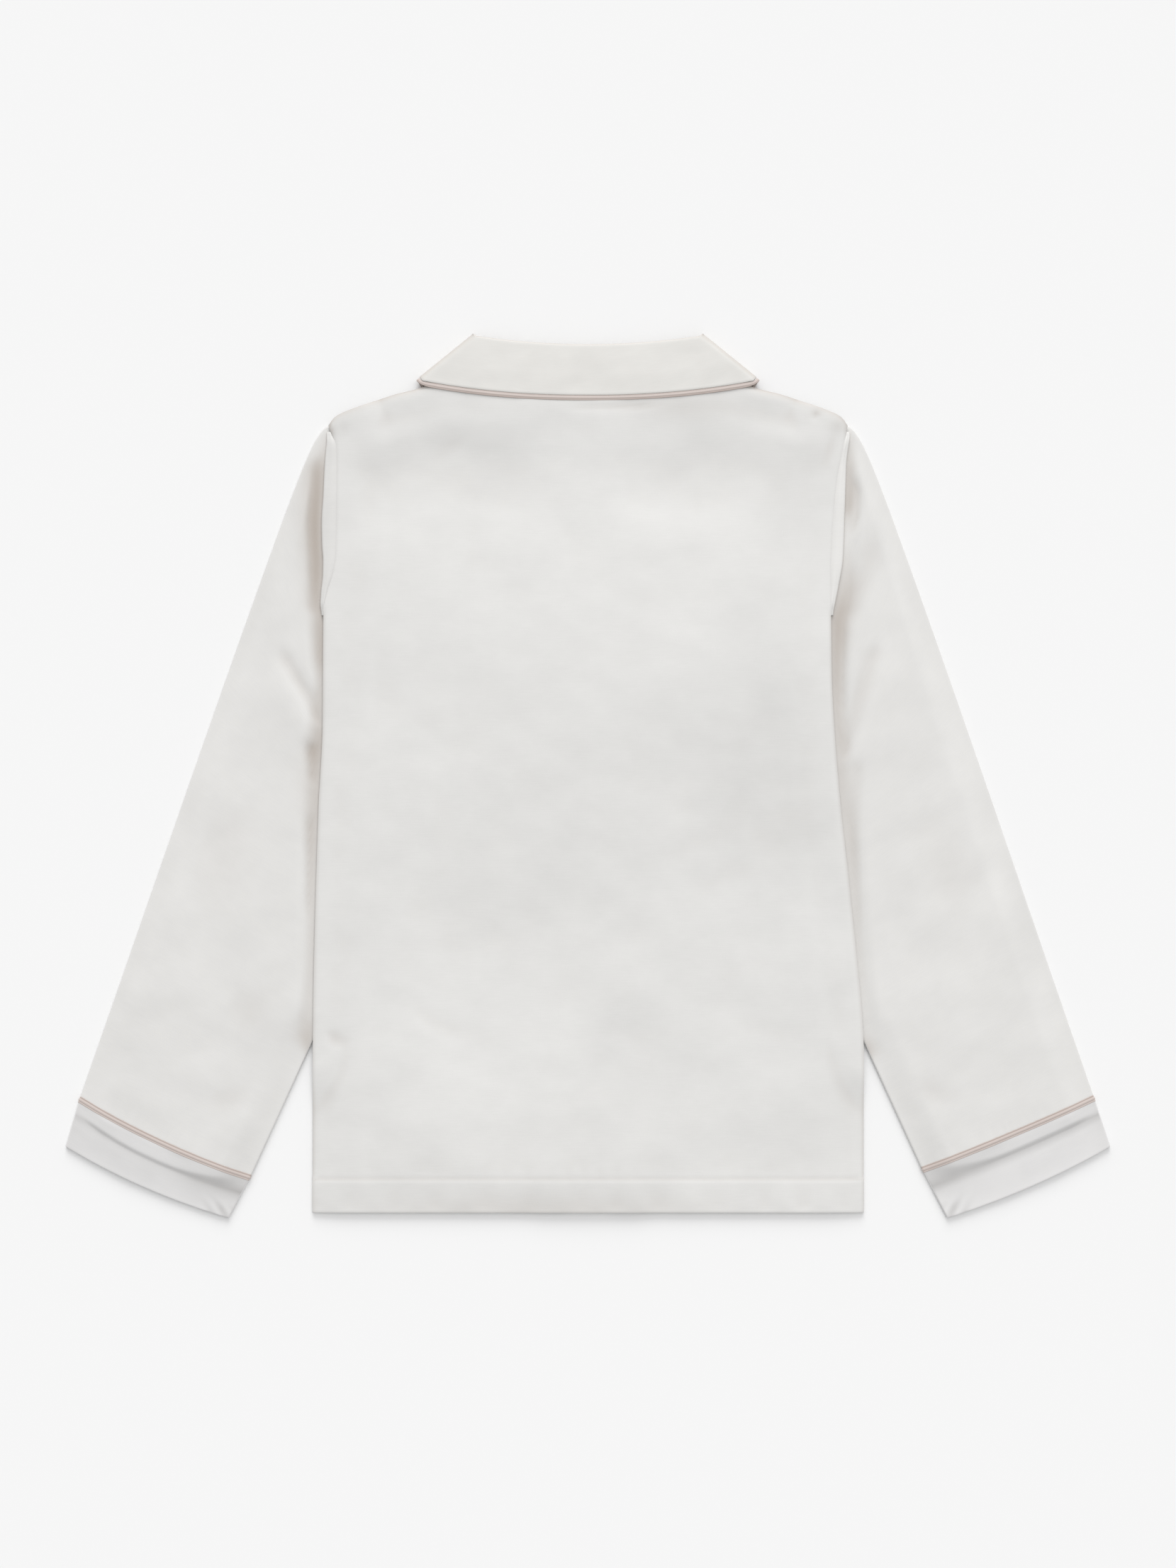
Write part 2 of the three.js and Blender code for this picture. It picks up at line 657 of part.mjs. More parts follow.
// Collar: each row runs from the left front end, round the back of the neck, to the right front end.
// A row has a plan line, a height off the middle of the folded ring and an offset at the roll.
function collarRows() {
  const standHalf = COLLAR.half - (COLLAR_WALL + GAP) / 2;
  const fallHalf = COLLAR.half + (COLLAR_WALL + GAP) / 2;
  const bend = (COLLAR_WALL + GAP) / 2;
  const rows = [
    { part: 'stand', share: 0, half: standHalf, out: 0 },
    { part: 'stand', share: 0.5, half: standHalf, out: 0 },
  ];
  for (const angle of [0, 45, 90, 135, 180]) {
    const turn = THREE.MathUtils.degToRad(angle);
    const half = COLLAR.half - bend * Math.cos(turn);
    rows.push({ part: 'stand', share: 1, half, out: bend * Math.sin(turn) });
  }
  for (const share of [1 / 3, 2 / 3, 1]) rows.push({ part: 'fall', share, half: fallHalf, out: 0 });
  return rows;
}

// The collar's sections stand at the panels' neck columns, so that its seam runs beside theirs.
const neckColumnX = (share) => NECK_COLUMNS[Math.round(share * (NECK_COLUMNS.length - 1))];

// Plan points of the seam, roll and edge lines at one place along the half collar.
// Places from 0 to 1 lie on the back, and from 1 to 2 on the front.
function collarLines(place) {
  const { roll, edge, seamClear, neckPointRise, seamEndX } = COLLAR;
  if (place <= 1) {
    const seamX = neckColumnX(place);
    const share = seamX / NECK_X;
    return {
      seam: { x: seamX, y: backNeckY(seamX) + seamClear + neckPointRise * share ** 4 },
      roll: { x: roll.foldX * share, y: lerp(roll.backY, roll.foldY, share ** COLLAR.rollPower) },
      edge: { x: edge.foldX * share, y: lerp(edge.backY, edge.foldY, share ** COLLAR.edgePower) },
    };
  }
  const t = place - 1;
  const curve = (line) => {
    const bezier = (a, b, c) => (1 - t) ** 2 * a + 2 * t * (1 - t) * b + t * t * c;
    return { x: bezier(line.foldX, line.bendX, line.endX), y: bezier(line.foldY, line.bendY, line.endY) };
  };
  const seamX = Math.max(neckColumnX(1 - t), seamEndX);
  const slope = frontNeckY(seamX + 0.5) - frontNeckY(seamX - 0.5);
  const tilt = Math.hypot(1, slope);
  return {
    seam: { x: seamX - (seamClear * slope) / tilt, y: frontNeckY(seamX) + seamClear / tilt },
    roll: curve(roll),
    edge: curve(edge),
  };
}

// Places along the collar from its left front end to its right one. At each fold the cloth turns
// from the upper to the lower side, through the angles given.
function collarPlaces() {
  const half = [];
  const steps = NECK_COLUMNS.length - 1;
  for (let k = 0; k < steps; k++) half.push({ place: k / steps, angle: 0 });
  for (let k = 0; k <= COLLAR_FOLD_STEPS; k++) half.push({ place: 1, angle: (180 * k) / COLLAR_FOLD_STEPS });
  for (let k = 1; k <= steps; k++) half.push({ place: 1 + k / steps, angle: 180 });
  const left = half.slice(1).reverse().map((entry) => ({ ...entry, sign: -1 }));
  return [...left, ...half.map((entry) => ({ ...entry, sign: 1 }))];
}

function collarPoint({ place, angle, sign }, row) {
  const { seam, roll, edge } = collarLines(place);
  const from = row.part === 'stand' ? seam : roll;
  const to = row.part === 'stand' ? roll : edge;
  const upward = vec(roll.x - seam.x, roll.y - seam.y, 0).normalize();
  const point = vec(lerp(from.x, to.x, row.share), lerp(from.y, to.y, row.share), 0);
  point.addScaledVector(upward, row.out);
  const turn = THREE.MathUtils.degToRad(angle);
  const { standFold, fallFold, half } = COLLAR;
  const bend = (COLLAR_WALL + GAP) / 2;
  const towardFall = smoothstep(row.half, half - bend, half + bend);
  const outward = vec(standFold.x, standFold.y, 0);
  outward.lerp(vec(fallFold.x, fallFold.y, 0), towardFall).normalize();
  point.addScaledVector(outward, row.half * Math.sin(turn));
  point.z = COLLAR.middle + row.half * Math.cos(turn);
  point.x *= sign;
  return point;
}

function collarGrid() {
  const places = collarPlaces();
  return collarRows().map((row) => places.map((place) => collarPoint(place, row)));
}

function collar() {
  return clothWall(collarGrid(), COLLAR_WALL);
}

// Piping on the collar's outer edge and up its two front ends, in line with the cloth
function collarPiping() {
  const grid = collarGrid();
  const last = grid.length - 1;
  const end = grid[0].length - 1;
  const clear = COLLAR_PIPING.width / 2 + GAP + COLLAR_WALL * RIM_BULGE;
  const along = (i, j) => grid[i][Math.min(j + 1, end)].clone().sub(grid[i][Math.max(j - 1, 0)]).normalize();
  const down = (i, j) => grid[i][j].clone().sub(grid[i - 1][j]).normalize();
  const across = (direction, tangent) => {
    return direction.addScaledVector(tangent, -direction.dot(tangent)).normalize();
  };
  const entry = (i, j, ...outward) => {
    const point = grid[i][j].clone();
    for (const direction of outward) point.addScaledVector(direction, clear);
    return { point, normal: along(i, j).cross(down(i, j)).normalize() };
  };
  const beyondEdge = (j) => across(down(last, j), along(last, j));
  const beyondEnd = (i, j, sign) => across(along(i, j).multiplyScalar(sign), down(i, j));
  const frontEnd = (j, sign) => [last - 2, last - 1].map((i) => entry(i, j, beyondEnd(i, j, sign)));
  const corner = (j, sign) => entry(last, j, beyondEdge(j), beyondEnd(last, j, sign));
  const path = [...frontEnd(0, -1), corner(0, -1)];
  for (let j = 1; j < end; j++) path.push(entry(last, j, beyondEdge(j)));
  path.push(corner(end, 1), ...frontEnd(end, 1).reverse());
  return ovalCord(path, COLLAR_PIPING, false);
}

// A sewn-through button with a rim and four holes, its face to the ground
function button() {
  const { radius, thick, rim, dish, round, hole, pitch, sides } = BUTTON;
  const profile = [
    [0, dish],
    [radius - rim - dish, dish],
    [radius - rim, 0],
    [radius - round, 0],
    [radius, round],
    [radius, thick - round],
    [radius - round, thick],
    [0, thick],
  ].map(([x, y]) => new THREE.Vector2(x, y));
  const turned = new THREE.LatheGeometry(profile, sides);
  turned.rotateX(Math.PI / 2);
  let solid = toSolid(faceOutward(weld(turned)));
  for (const [dx, dy] of [[1, 1], [1, -1], [-1, 1], [-1, -1]]) {
    const bore = new THREE.CylinderGeometry(hole, hole, thick * 2, 6);
    bore.rotateX(Math.PI / 2);
    bore.translate((dx * pitch) / 2, (dy * pitch) / 2, thick / 2);
    solid = solid.subtract(toSolid(faceOutward(weld(bore))));
  }
  return fromSolid(solid);
}

// Joins the points that a lathe or cylinder repeats at its seam and corners.
function weld(geometry) {
  const position = geometry.getAttribute('position');
  const source = geometry.getIndex().array;
  const known = new Map();
  const positions = [];
  const numbers = [];
  for (let k = 0; k < position.count; k++) {
    const point = [position.getX(k), position.getY(k), position.getZ(k)];
    const key = point.map((value) => Math.round(value * 1000)).join(' ');
    if (!known.has(key)) known.set(key, positions.push(point) - 1);
    numbers.push(known.get(key));
  }
  const index = [];
  for (let k = 0; k < source.length; k += 3) {
    const [a, b, c] = [numbers[source[k]], numbers[source[k + 1]], numbers[source[k + 2]]];
    if (a !== b && b !== c && c !== a) index.push(a, b, c);
  }
  const welded = new THREE.BufferGeometry();
  welded.setAttribute('position', new THREE.Float32BufferAttribute(positions.flat(), 3));
  welded.setIndex(index);
  return welded;
}

const satin = () => new THREE.MeshStandardMaterial({ color: 0xe2e0dd, roughness: 0.5, metalness: 0 });
const beige = () => new THREE.MeshStandardMaterial({ color: 0xc8bcb4, roughness: 0.55, metalness: 0 });
const shell = () => new THREE.MeshStandardMaterial({ color: 0xe6e2d8, roughness: 0.3, metalness: 0 });

const group = new THREE.Group();

function place(name, geometry, material) {
  geometry.computeVertexNormals();
  const mesh = new THREE.Mesh(geometry, material);
  mesh.name = name;
  group.add(mesh);
  return mesh;
}

place('back', backPanel(), satin());
place('collar', collar(), satin());
place('collar_piping', collarPiping(), beige());
for (const side of ['left', 'right']) {
  place(`front_${side}`, frontPanel(side), satin());
  place(`sleeve_${side}`, sleeve(side), satin());
  place(`cuff_${side}`, cuff(side), satin());
  place(`cuff_piping_${side}`, cuffPiping(side), beige());
}
for (let k = 0; k < BUTTON_COUNT; k++) {
  place(`button_${k + 1}`, button(), shell()).position.set(0, buttonY(k), 0);
}

export default group;
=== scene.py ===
"""Satin pyjama jacket with beige piping, laid flat on its front and seen from the back.

Tables and heights are in millimetres and meshes in metres. X runs across the jacket, Y from hem to
collar and Z up from the floor. Left and right are the wearer's, so the left sleeve is on the -X side.
"""

import math

import bpy
import numpy as np
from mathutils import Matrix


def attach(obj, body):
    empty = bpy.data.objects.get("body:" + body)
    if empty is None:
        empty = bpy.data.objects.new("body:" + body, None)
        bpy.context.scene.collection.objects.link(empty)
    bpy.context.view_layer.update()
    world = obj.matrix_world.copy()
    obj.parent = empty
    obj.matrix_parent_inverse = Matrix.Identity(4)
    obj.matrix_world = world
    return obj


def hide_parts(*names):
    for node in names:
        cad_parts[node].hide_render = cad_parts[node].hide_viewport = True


bl_info = {
    "name": "Laid-out pyjama jacket",
    "version": (1, 0, 0),
    "blender": (4, 5, 0),
    "location": "View3D > Sidebar > Jacket",
    "description": "Builds a satin pyjama jacket with piping, buttons and stitching, laid flat on its front",
    "category": "Add Mesh",
}

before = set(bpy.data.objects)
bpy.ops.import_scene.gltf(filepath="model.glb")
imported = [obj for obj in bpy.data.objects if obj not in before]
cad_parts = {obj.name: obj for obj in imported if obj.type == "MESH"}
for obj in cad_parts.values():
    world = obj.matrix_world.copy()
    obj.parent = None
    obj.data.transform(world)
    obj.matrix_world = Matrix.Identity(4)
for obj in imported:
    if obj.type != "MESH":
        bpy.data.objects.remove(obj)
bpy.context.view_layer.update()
MM = 0.001

# Heights of the laid layers: one layer of the solid model, the gap between layers, and both together
WALL = 1.2
GAP = 0.3
LAYER = WALL + GAP

# How high the collar's front half and the buttons hold what lies over them
COLLAR_LIFT = 1.8
BUTTON_LIFT = 2.3

# The back's crown along its sides and its middle, and its level under the collar
CROWN_SIDE = 4.9
CROWN_MIDDLE = 6.1
NEST_LEVEL = 4.4

# Body outline
HEM_Y = -277.0
HEM_DEPTH = 21.0
HEM_TOP = -250.0
STITCH_Y = HEM_Y + HEM_DEPTH
NECK_X = 73.0
NECK_Y = 259.0
BACK_NECK_Y = 249.0
FRONT_NECK_Y = 197.0
SHOULDER_X = 164.5
SHOULDER_Y = 222.0
OVERLAP = 15.0
LAP_FADE = (24, 50)

# Shoulder seam: x, y
SHOULDER = ((73, 259), (110.5, 244.6), (121.3, 242), (134.3, 237.8), (150, 232.4), (160.9, 227), (164.5, 222))

# Half width of the body: y, x
SIDE_LEFT = (
    (222, 164.5), (210, 160), (201, 159.3), (141, 160), (128, 161.9), (116, 165.6), (106, 167.6),
    (30, 168.2), (-22, 170.8), (-182, 174.4), (-277, 174.6),
)
SIDE_RIGHT = (
    (222, 164.5), (204, 160.9), (186, 157.7), (150, 154.6), (124, 153.9), (62, 154.5), (26, 156.4),
    (-15, 159.7), (-80, 166.7), (-182, 174.8), (-277, 174.8),
)

# Width of the roll of sleeve cloth along each armhole seam: y, width
ROLL = {
    "left": (
        (219, 2.5), (214, 5), (201, 7.7), (178, 8.8), (162, 9.6), (147, 9.1), (131, 7.1), (117, 4.2), (104, 1.6),
    ),
    "right": (
        (219, 2.2), (214, 3.4), (204, 3.8), (186, 6), (166, 7.4), (150, 8), (137, 7.8), (121, 5.4), (104, 1.8),
    ),
}

# Sleeves in half widths from the centre line: x, y
SLEEVE_TOP = ((156, 224), (165.8, 221.6), (170.8, 216.2), (176.6, 205.4), (187.9, 177.5), (194.6, 159.5))
SLEEVE_TUCK = (116, -40)
SLEEVE_LOFT = 2.8
SLEEVE_FAN = {"share": 0.3, "inner": 18.0, "outer": 226.0, "ease": 1.3}

# Cuffs: outer and inner end of the seam above them and of their lower edge
CUFF_SEAM = {"left": ((323, -205.3), (214.4, -255.2)), "right": ((321.5, -204.5), (212.2, -250.2))}
CUFF_BOTTOM = ((331.7, -235.1), (227.9, -280.5))
PIPING_LAP = 0.9
EDGE_REACH = 20.0
CUFF_COLUMNS = 96
CUFF_BOW = {"left": (3.2, 3.6), "right": (0.9, 3.0)}

# Crease of the cuff: share of its width from the inner end, share of its depth
CUFF_CREASE = {
    "left": ((0, 0.36), (0.3, 0.41), (0.6, 0.41), (1, 0.30)),
    "right": ((0, 0.33), (0.5, 0.31), (1, 0.30)),
}

# Shade of that crease: share of the cuff's width from the inner end, share
CUFF_SHADE = {
    "left": ((0, 0.95), (0.2, 0.75), (0.45, 0.34), (0.8, 0.26), (1, 0.42)),
    "right": ((0, 0.75), (0.2, 0.6), (0.45, 0.42), (0.75, 0.42), (1, 0.62)),
}

# Painted shade on the cuff above that crease, and painted light below it on each side
CUFF_BAND_PAINTED_SHADE = -0.65
CUFF_PAINTED_LIGHT = {"left": 0.1, "right": 1.0}

# Collar on the half where x is positive
COLLAR_MIDDLE = 3.7
COLLAR_HALF = 2.15
COLLAR_BEND = 0.85
ROLL_BACK_Y = 272.3
EDGE_BACK_Y = 241.7
ROLL_FRONT = ((71, 277.6), (40, 212), (5, 203.5))
EDGE_FRONT = ((104.5, 250.6), (80, 205), (45, 170))
NECK_PLACES = (0, 9, 15, 27, 41, 56, 73)

# Buttons on the centre front
BUTTON_TOP_Y = 182.0
BUTTON_SPACING = 87.0
BUTTON_COUNT = 5
BUTTON_YS = tuple(BUTTON_TOP_Y - k * BUTTON_SPACING for k in range(BUTTON_COUNT))

# Plan zones that lift what lies over them: x, y corners on the half where x is positive
TUCK_ZONE = ((156, 224), SLEEVE_TUCK, (175, -171), (260, -171), (260, 224))
FRONT_COLLAR_ZONE = ((2, 204), (46, 165), (82, 203), (110, 248), (76, 284), (0, 284))
BACK_COLLAR_ZONE = ((0, 236), (60, 239.5), (90, 243.5), (112, 244), (76, 284), (0, 284))

# Soft swells and hollows of the back: x, y, reach across, reach along, height
BACK_SWELLS = (
    (-79, 186, 62, 30, -1.5),
    (74, 188, 72, 27, -1.6),
    (-142, 182, 24, 24, -0.7),
    (0, 232, 70, 16, 0.5),
    (70, 72, 62, 42, 1.1),
    (-70, 92, 60, 36, 0.7),
    (0, 45, 60, 42, 0.7),
    (120, -32, 44, 40, -1.6),
    (-55, -100, 74, 42, -1.1),
    (22, -176, 34, 24, -0.8),
    (-80, -214, 62, 40, 0.9),
    (62, -128, 52, 56, 0.8),
    (110, -205, 46, 34, 0.6),
    (-130, -40, 30, 70, 0.5),
    (-128, 60, 26, 44, -0.6),
)

# Broad painted light and painted shade on the back's satin: x, y, reach across, reach along, share
BACK_PAINTED_LIGHT_AND_SHADE = (
    (0, 150, 150, 42, 0.40),
    (60, 168, 60, 20, 0.25),
    (-100, 150, 50, 30, 0.15),
    (0, 226, 110, 16, -0.60),
    (60, 236, 60, 10, -0.40),
    (-139, 199, 20, 15, -0.60),
    (-75, 212, 40, 14, -0.30),
    (95, 208, 60, 16, -0.30),
    (140, 180, 16, 20, -0.30),
    (110, -5, 60, 62, -0.50),
    (0, -45, 150, 48, -0.30),
    (-70, -190, 70, 50, 0.30),
    (-100, -165, 30, 20, 0.25),
    (60, -208, 50, 20, 0.15),
    (22, -158, 26, 20, -0.25),
    (146, -190, 26, 50, -0.25),
    (-46, -86, 26, 18, -0.20),
    (136, -85, 20, 18, 0.20),
    (95, -262, 50, 16, 0.35),
    (30, -238, 120, 26, 0.20),
    (0, 238, 60, 8, 0.45),
    (-20, 85, 130, 40, 0.20),
    (-70, -225, 44, 24, 0.85),
    (-15, -195, 90, 24, 0.18),
    (150, 88, 22, 36, 0.30),
    (-80, 215, 60, 12, -0.6),
    (124, 52, 26, 40, -0.45),
    (118, -55, 40, 30, -0.55),
    (125, 175, 16, 20, -0.5),
    (-30, -268, 110, 12, -0.9),
    (-150, -268, 40, 10, -0.3),
    (159, 221, 7, 6, -0.9),
    (147, 202, 10, 9, -0.6),
    (-159, 219, 8, 5, -0.9),
    (70, -210, 90, 30, 0.3),
)

# The same painted light and shade on the sleeves, with x in half widths, and the painted light and shade of the roll
# along each armhole
SLEEVE_PAINTED_LIGHT_AND_SHADE = {
    "left": ((205, -160, 28, 16, -0.7), (290, -170, 14, 30, -0.6), (184, 160, 6, 16, -0.3)),
    "right": (
        (278, -90, 9, 34, -0.6), (200, -122, 40, 14, 0.5), (190, 75, 16, 30, 0.6), (216, 0, 16, 10, -0.4),
    ),
}
ROLL_PAINTED_LIGHT_AND_SHADE = {"left": -0.4, "right": 0.7}

# Shaded places of the back: x, y, reach across, reach along, share
BACK_SHADES = (
    (64, 234, 34, 8, 0.14),
    (-30, -276, 95, 9, 0.22),
    (-164, 217.5, 3, 3, 0.5),
    (-165.5, 211, 2, 5, 0.2),
    (144.5, 229.5, 3.2, 2.2, 0.3),
    (159, 222, 6, 4, 0.16),
)

# Shade in the gap beside the body: y, share, width
GAP_SHADE = {
    "left": (
        (219, 0.0, 3), (206, 0.35, 6), (194, 0.85, 10), (170, 0.95, 11), (140, 0.95, 10.5), (104, 0.9, 8),
        (77, 0.9, 6), (60, 0.5, 4.5), (40, 0.55, 7), (18, 0.8, 10), (0, 0.65, 11), (-30, 0.5, 9.5), (-60, 0.35, 6),
        (-110, 0.25, 5), (-150, 0.25, 8), (-166, 0.5, 9), (-182, 0.4, 3), (-200, 0.0, 3),
    ),
    "right": (
        (219, 0.0, 3), (206, 0.3, 4), (192, 0.6, 6), (172, 0.75, 5), (160, 0.15, 3), (148, 0.0, 3),
        (136, 0.2, 5), (118, 0.5, 10.5), (100, 0.8, 11), (70, 0.65, 6.5), (40, 0.5, 5), (10, 0.4, 8), (-30, 0.35, 8),
        (-80, 0.25, 5), (-140, 0.08, 4), (-160, 0.1, 5), (-174, 0.5, 6), (-184, 0.5, 3), (-200, 0.0, 3),
    ),
}

# Creases: rows of x, y, width, height along each, with x in half widths on a sleeve
BACK_CREASES = (
    ((-18, 233.2, 2, 0), (2, 233.9, 2.6, -0.45), (30, 234.4, 2.6, -0.5), (52, 235.6, 2, 0)),
    ((-104, 196, 6, 0), (-86, 210, 7, -0.5), (-66, 222, 6, 0)),
    ((-161, 223, 3, 0), (-156, 221, 4, -0.3), (-149, 218, 4, 0)),
    ((147, 233, 1.6, 0), (144.5, 229.6, 2.2, -0.45), (142, 224, 2, 0)),
    ((158, 222, 2, 0), (153, 206, 4, -0.5), (148, 186, 5, 0)),
    ((-168, -160, 3, 0), (-160, -167, 5, -0.6), (-148, -172, 4, 0)),
    ((-120, -140, 6, 0), (-96, -158, 7, -0.4), (-70, -168, 6, 0)),
    ((40, -60, 8, 0), (66, -44, 9, -0.35), (96, -30, 8, 0)),
)
SLEEVE_CREASES = {
    "left": (
        ((174, 206, 3, 0), (172.5, 190, 5, -1.6), (173, 160, 6, -2.2), (172.5, 130, 5, -1.7), (171, 104, 3, 0)),
        ((197, 84, 4, 0), (190, 71, 5, -1.0), (180, 54, 5, -1.5), (172, 40, 5, -1.3), (170, 32, 4, 0)),
        ((206, 68, 9, 0), (193, 50, 10, 0.7), (182, 32, 9, 0.6), (177, 18, 8, 0)),
        ((179, 24, 3, 0), (174.5, 14, 4.5, -1.9), (174, 3, 4, -1.0), (175, -8, 3, 0)),
        ((177, -20, 3, 0), (175, -38, 4, -1.2), (175.5, -65, 4, -1.1), (178, -98, 3, 0)),
        ((182, -146, 5, 0), (180, -158, 8, -0.6), (177, -168, 7, -1.4), (177, -178, 4, -0.5)),
        ((190, 150, 16, 0), (206, 108, 19, 0.6), (222, 60, 16, 0)),
        ((214, 8, 14, 0), (232, -52, 20, -0.7), (240, -110, 16, 0)),
        ((262, -50, 20, 0), (276, -100, 22, 0.6), (286, -156, 18, 0)),
        ((226, -170, 12, 0), (246, -190, 16, 0.6), (272, -196, 14, 0)),
        ((208, -206, 8, 0), (230, -206, 10, -0.6), (250, -214, 8, 0)),
        ((206, -128, 10, 0), (216, -148, 13, -0.7), (232, -158, 10, 0)),
    ),
    "right": (
        ((170, 192, 3, 0), (169.5, 178, 5, -1.5), (168, 165, 4.5, -1.9), (166.5, 150, 3, 0)),
        ((187, 162, 9, 0), (176, 136, 9, -0.8), (167, 116, 8, -1.5), (160.5, 97, 6, -1.9), (159, 60, 5, -1.9),
         (160, 30, 4, -1.2), (162, 8, 3, 0)),
        ((186, 88, 4, 0), (180, 74, 6, -1.0), (169.5, 42.5, 6, -1.3), (164.6, 22, 5, -1.3), (164, 6, 4, 0)),
        ((171, 16, 4, 0), (170, 2, 5, -0.9), (169, -40, 5, -0.9), (171, -80, 5, -0.5), (173, -104, 4, 0)),
        ((180, -164, 4, 0), (179, -175, 6, -1.5), (178, -183, 4, -0.8)),
        ((192, 138, 12, 0), (200, 96, 14, 0.7), (206, 40, 12, 0)),
        ((216, -10, 14, 0), (228, -60, 18, -0.6), (234, -112, 14, 0)),
        ((256, -50, 20, 0), (270, -100, 22, 0.6), (284, -156, 18, 0)),
        ((214, -150, 10, 0), (232, -168, 14, 0.5), (262, -176, 12, 0)),
        ((198, -196, 7, 0), (216, -200, 9, -0.6), (238, -208, 8, 0)),
    ),
}

# Stage: the floor's width and level in metres, the high light's strength and tilts, how wide both lights
# are in degrees, and the camera's lens and place along Y in metres
FLOOR_SIZE = 12
FLOOR_Z = -0.0002
HIGH_LIGHT = 0.676
HIGH_TILTS = (-18, 12)
SLANTING_SPREAD = 36
HIGH_SPREAD = 40
CAMERA_LENS = 85.0
CAMERA_Y = -0.0052


def blend(a, b, share):
    return a + (b - a) * share


def smooth(value, start, end):
    share = np.clip((value - start) / (end - start), 0.0, 1.0)
    return share * share * (3.0 - 2.0 * share)


def fade(distance, flat, end):
    return 1.0 - smooth(distance, flat, end)


def unit(vectors):
    return vectors / np.linalg.norm(vectors, axis=-1, keepdims=True)


def travelled(points, axis=0):
    """Length of the way along an axis of a grid or a path, at each of its points."""
    steps = np.diff(points, axis=axis, prepend=np.take(points, [0], axis))
    return np.cumsum(np.linalg.norm(steps, axis=-1), axis)


def eased(rows, at):
    """A smooth line through the rows of a table, which doesn't swing past them."""
    x, y = np.array(sorted(rows), float).T
    step = np.diff(x)
    slope = np.diff(y) / step
    before, after = slope[:-1], slope[1:]
    turn = np.zeros(len(before))
    same = before * after > 0
    wide, narrow = 2 * step[1:] + step[:-1], step[1:] + 2 * step[:-1]
    turn[same] = (wide + narrow)[same] / (wide[same] / before[same] + narrow[same] / after[same])
    lean = np.concatenate([slope[:1], turn, slope[-1:]])
    at = np.clip(at, x[0], x[-1])
    k = np.clip(np.searchsorted(x, at) - 1, 0, len(step) - 1)
    t = (at - x[k]) / step[k]
    first = (2 * t**3 - 3 * t**2 + 1) * y[k] + (t**3 - 2 * t**2 + t) * step[k] * lean[k]
    return first + (3 * t**2 - 2 * t**3) * y[k + 1] + (t**3 - t**2) * step[k] * lean[k + 1]


def segment_share(x, y, a, b):
    """How far along a straight stretch each place is, from 0 to 1, and how far it is from the stretch."""
    dx, dy = b[0] - a[0], b[1] - a[1]
    share = np.clip(((x - a[0]) * dx + (y - a[1]) * dy) / (dx * dx + dy * dy), 0.0, 1.0)
    return share, np.hypot(x - a[0] - share * dx, y - a[1] - share * dy)


def zone_distance(x, y, zone):
    nearest = np.full(np.shape(x), np.inf)
    inside = np.zeros(np.shape(x), bool)
    for a, b in zip(zone, zone[1:] + zone[:1]):
        nearest = np.minimum(nearest, segment_share(x, y, a, b)[1])
        if a[1] != b[1]:
            crosses = (a[1] > y) != (b[1] > y)
            inside ^= crosses & (x < a[0] + (y - a[1]) * (b[0] - a[0]) / (b[1] - a[1]))
    return np.where(inside, 0.0, nearest)


def swells(x, y, rows):
    total = np.zeros(np.shape(x))
    for at_x, at_y, reach_x, reach_y, height in rows:
        total += height * np.exp(-(((x - at_x) / reach_x) ** 2) - ((y - at_y) / reach_y) ** 2)
    return total


def creases(x, y, table):
    """Height that soft troughs and ridges add; each tapers with the rows along it."""
    total = np.zeros(np.shape(x))
    for rows in table:
        nearest = np.full(np.shape(x), np.inf)
        width, height = np.ones(np.shape(x)), np.zeros(np.shape(x))
        for a, b in zip(rows, rows[1:]):
            share, distance = segment_share(x, y, a, b)
            closer = distance < nearest
            ease = share * share * (3 - 2 * share)
            nearest = np.where(closer, distance, nearest)
            width = np.where(closer, blend(a[2], b[2], share), width)
            height = np.where(closer, blend(a[3], b[3], ease), height)
        total += height * np.exp(-((nearest / width) ** 2))
    return total


def ripples(x, y, seed, size, height, count=9):
    """Small uneven ripples of the cloth, the same ones on each run."""
    draw = np.random.default_rng(seed)
    total = np.zeros(np.shape(x))
    for _ in range(count):
        turn, phase = draw.uniform(0, 2 * math.pi, 2)
        length = size * draw.uniform(0.7, 1.6)
        bend = 0.6 * np.sin(2 * math.pi * (y * math.cos(turn) - x * math.sin(turn)) / (2.3 * length) + phase)
        total += np.sin(2 * math.pi * (x * math.cos(turn) + y * math.sin(turn)) / length + phase + bend)
    return total * height / math.sqrt(count)


# Plan and heights of the laid body


def side_x(x, y):
    return np.where(np.asarray(x) < 0, eased(SIDE_LEFT, y), eased(SIDE_RIGHT, y))


def shoulder_y(x):
    return eased(SHOULDER, np.abs(x))


def top_line(x, neck_y, power):
    share = np.clip(np.abs(x) / NECK_X, 0, 1)
    return np.where(np.abs(x) < NECK_X, blend(neck_y, NECK_Y, share**power), shoulder_y(x))


def back_top(x):
    return top_line(x, BACK_NECK_Y, 2.0)


def front_top(x):
    return top_line(x, FRONT_NECK_Y, 2.2)


def edge_distance(x, y):
    top = np.where(np.abs(x) < NECK_X, NECK_Y, shoulder_y(x))
    return np.maximum(0.0, np.minimum(side_x(x, y) - np.abs(x), top - y))


def front_lift(x, y, margin=0.0):
    """How far the sleeves, the collar and the buttons hold the fronts off the floor."""
    across = np.abs(x)
    lift = 2 * LAYER * fade(zone_distance(across, y, TUCK_ZONE), 14, 44)
    lift = np.maximum(lift, COLLAR_LIFT * fade(zone_distance(across, y, FRONT_COLLAR_ZONE), 18, 46))
    for at_y in BUTTON_YS:
        lift = np.maximum(lift, BUTTON_LIFT * fade(np.hypot(x, y - at_y) - margin, 13, 32))
    return lift


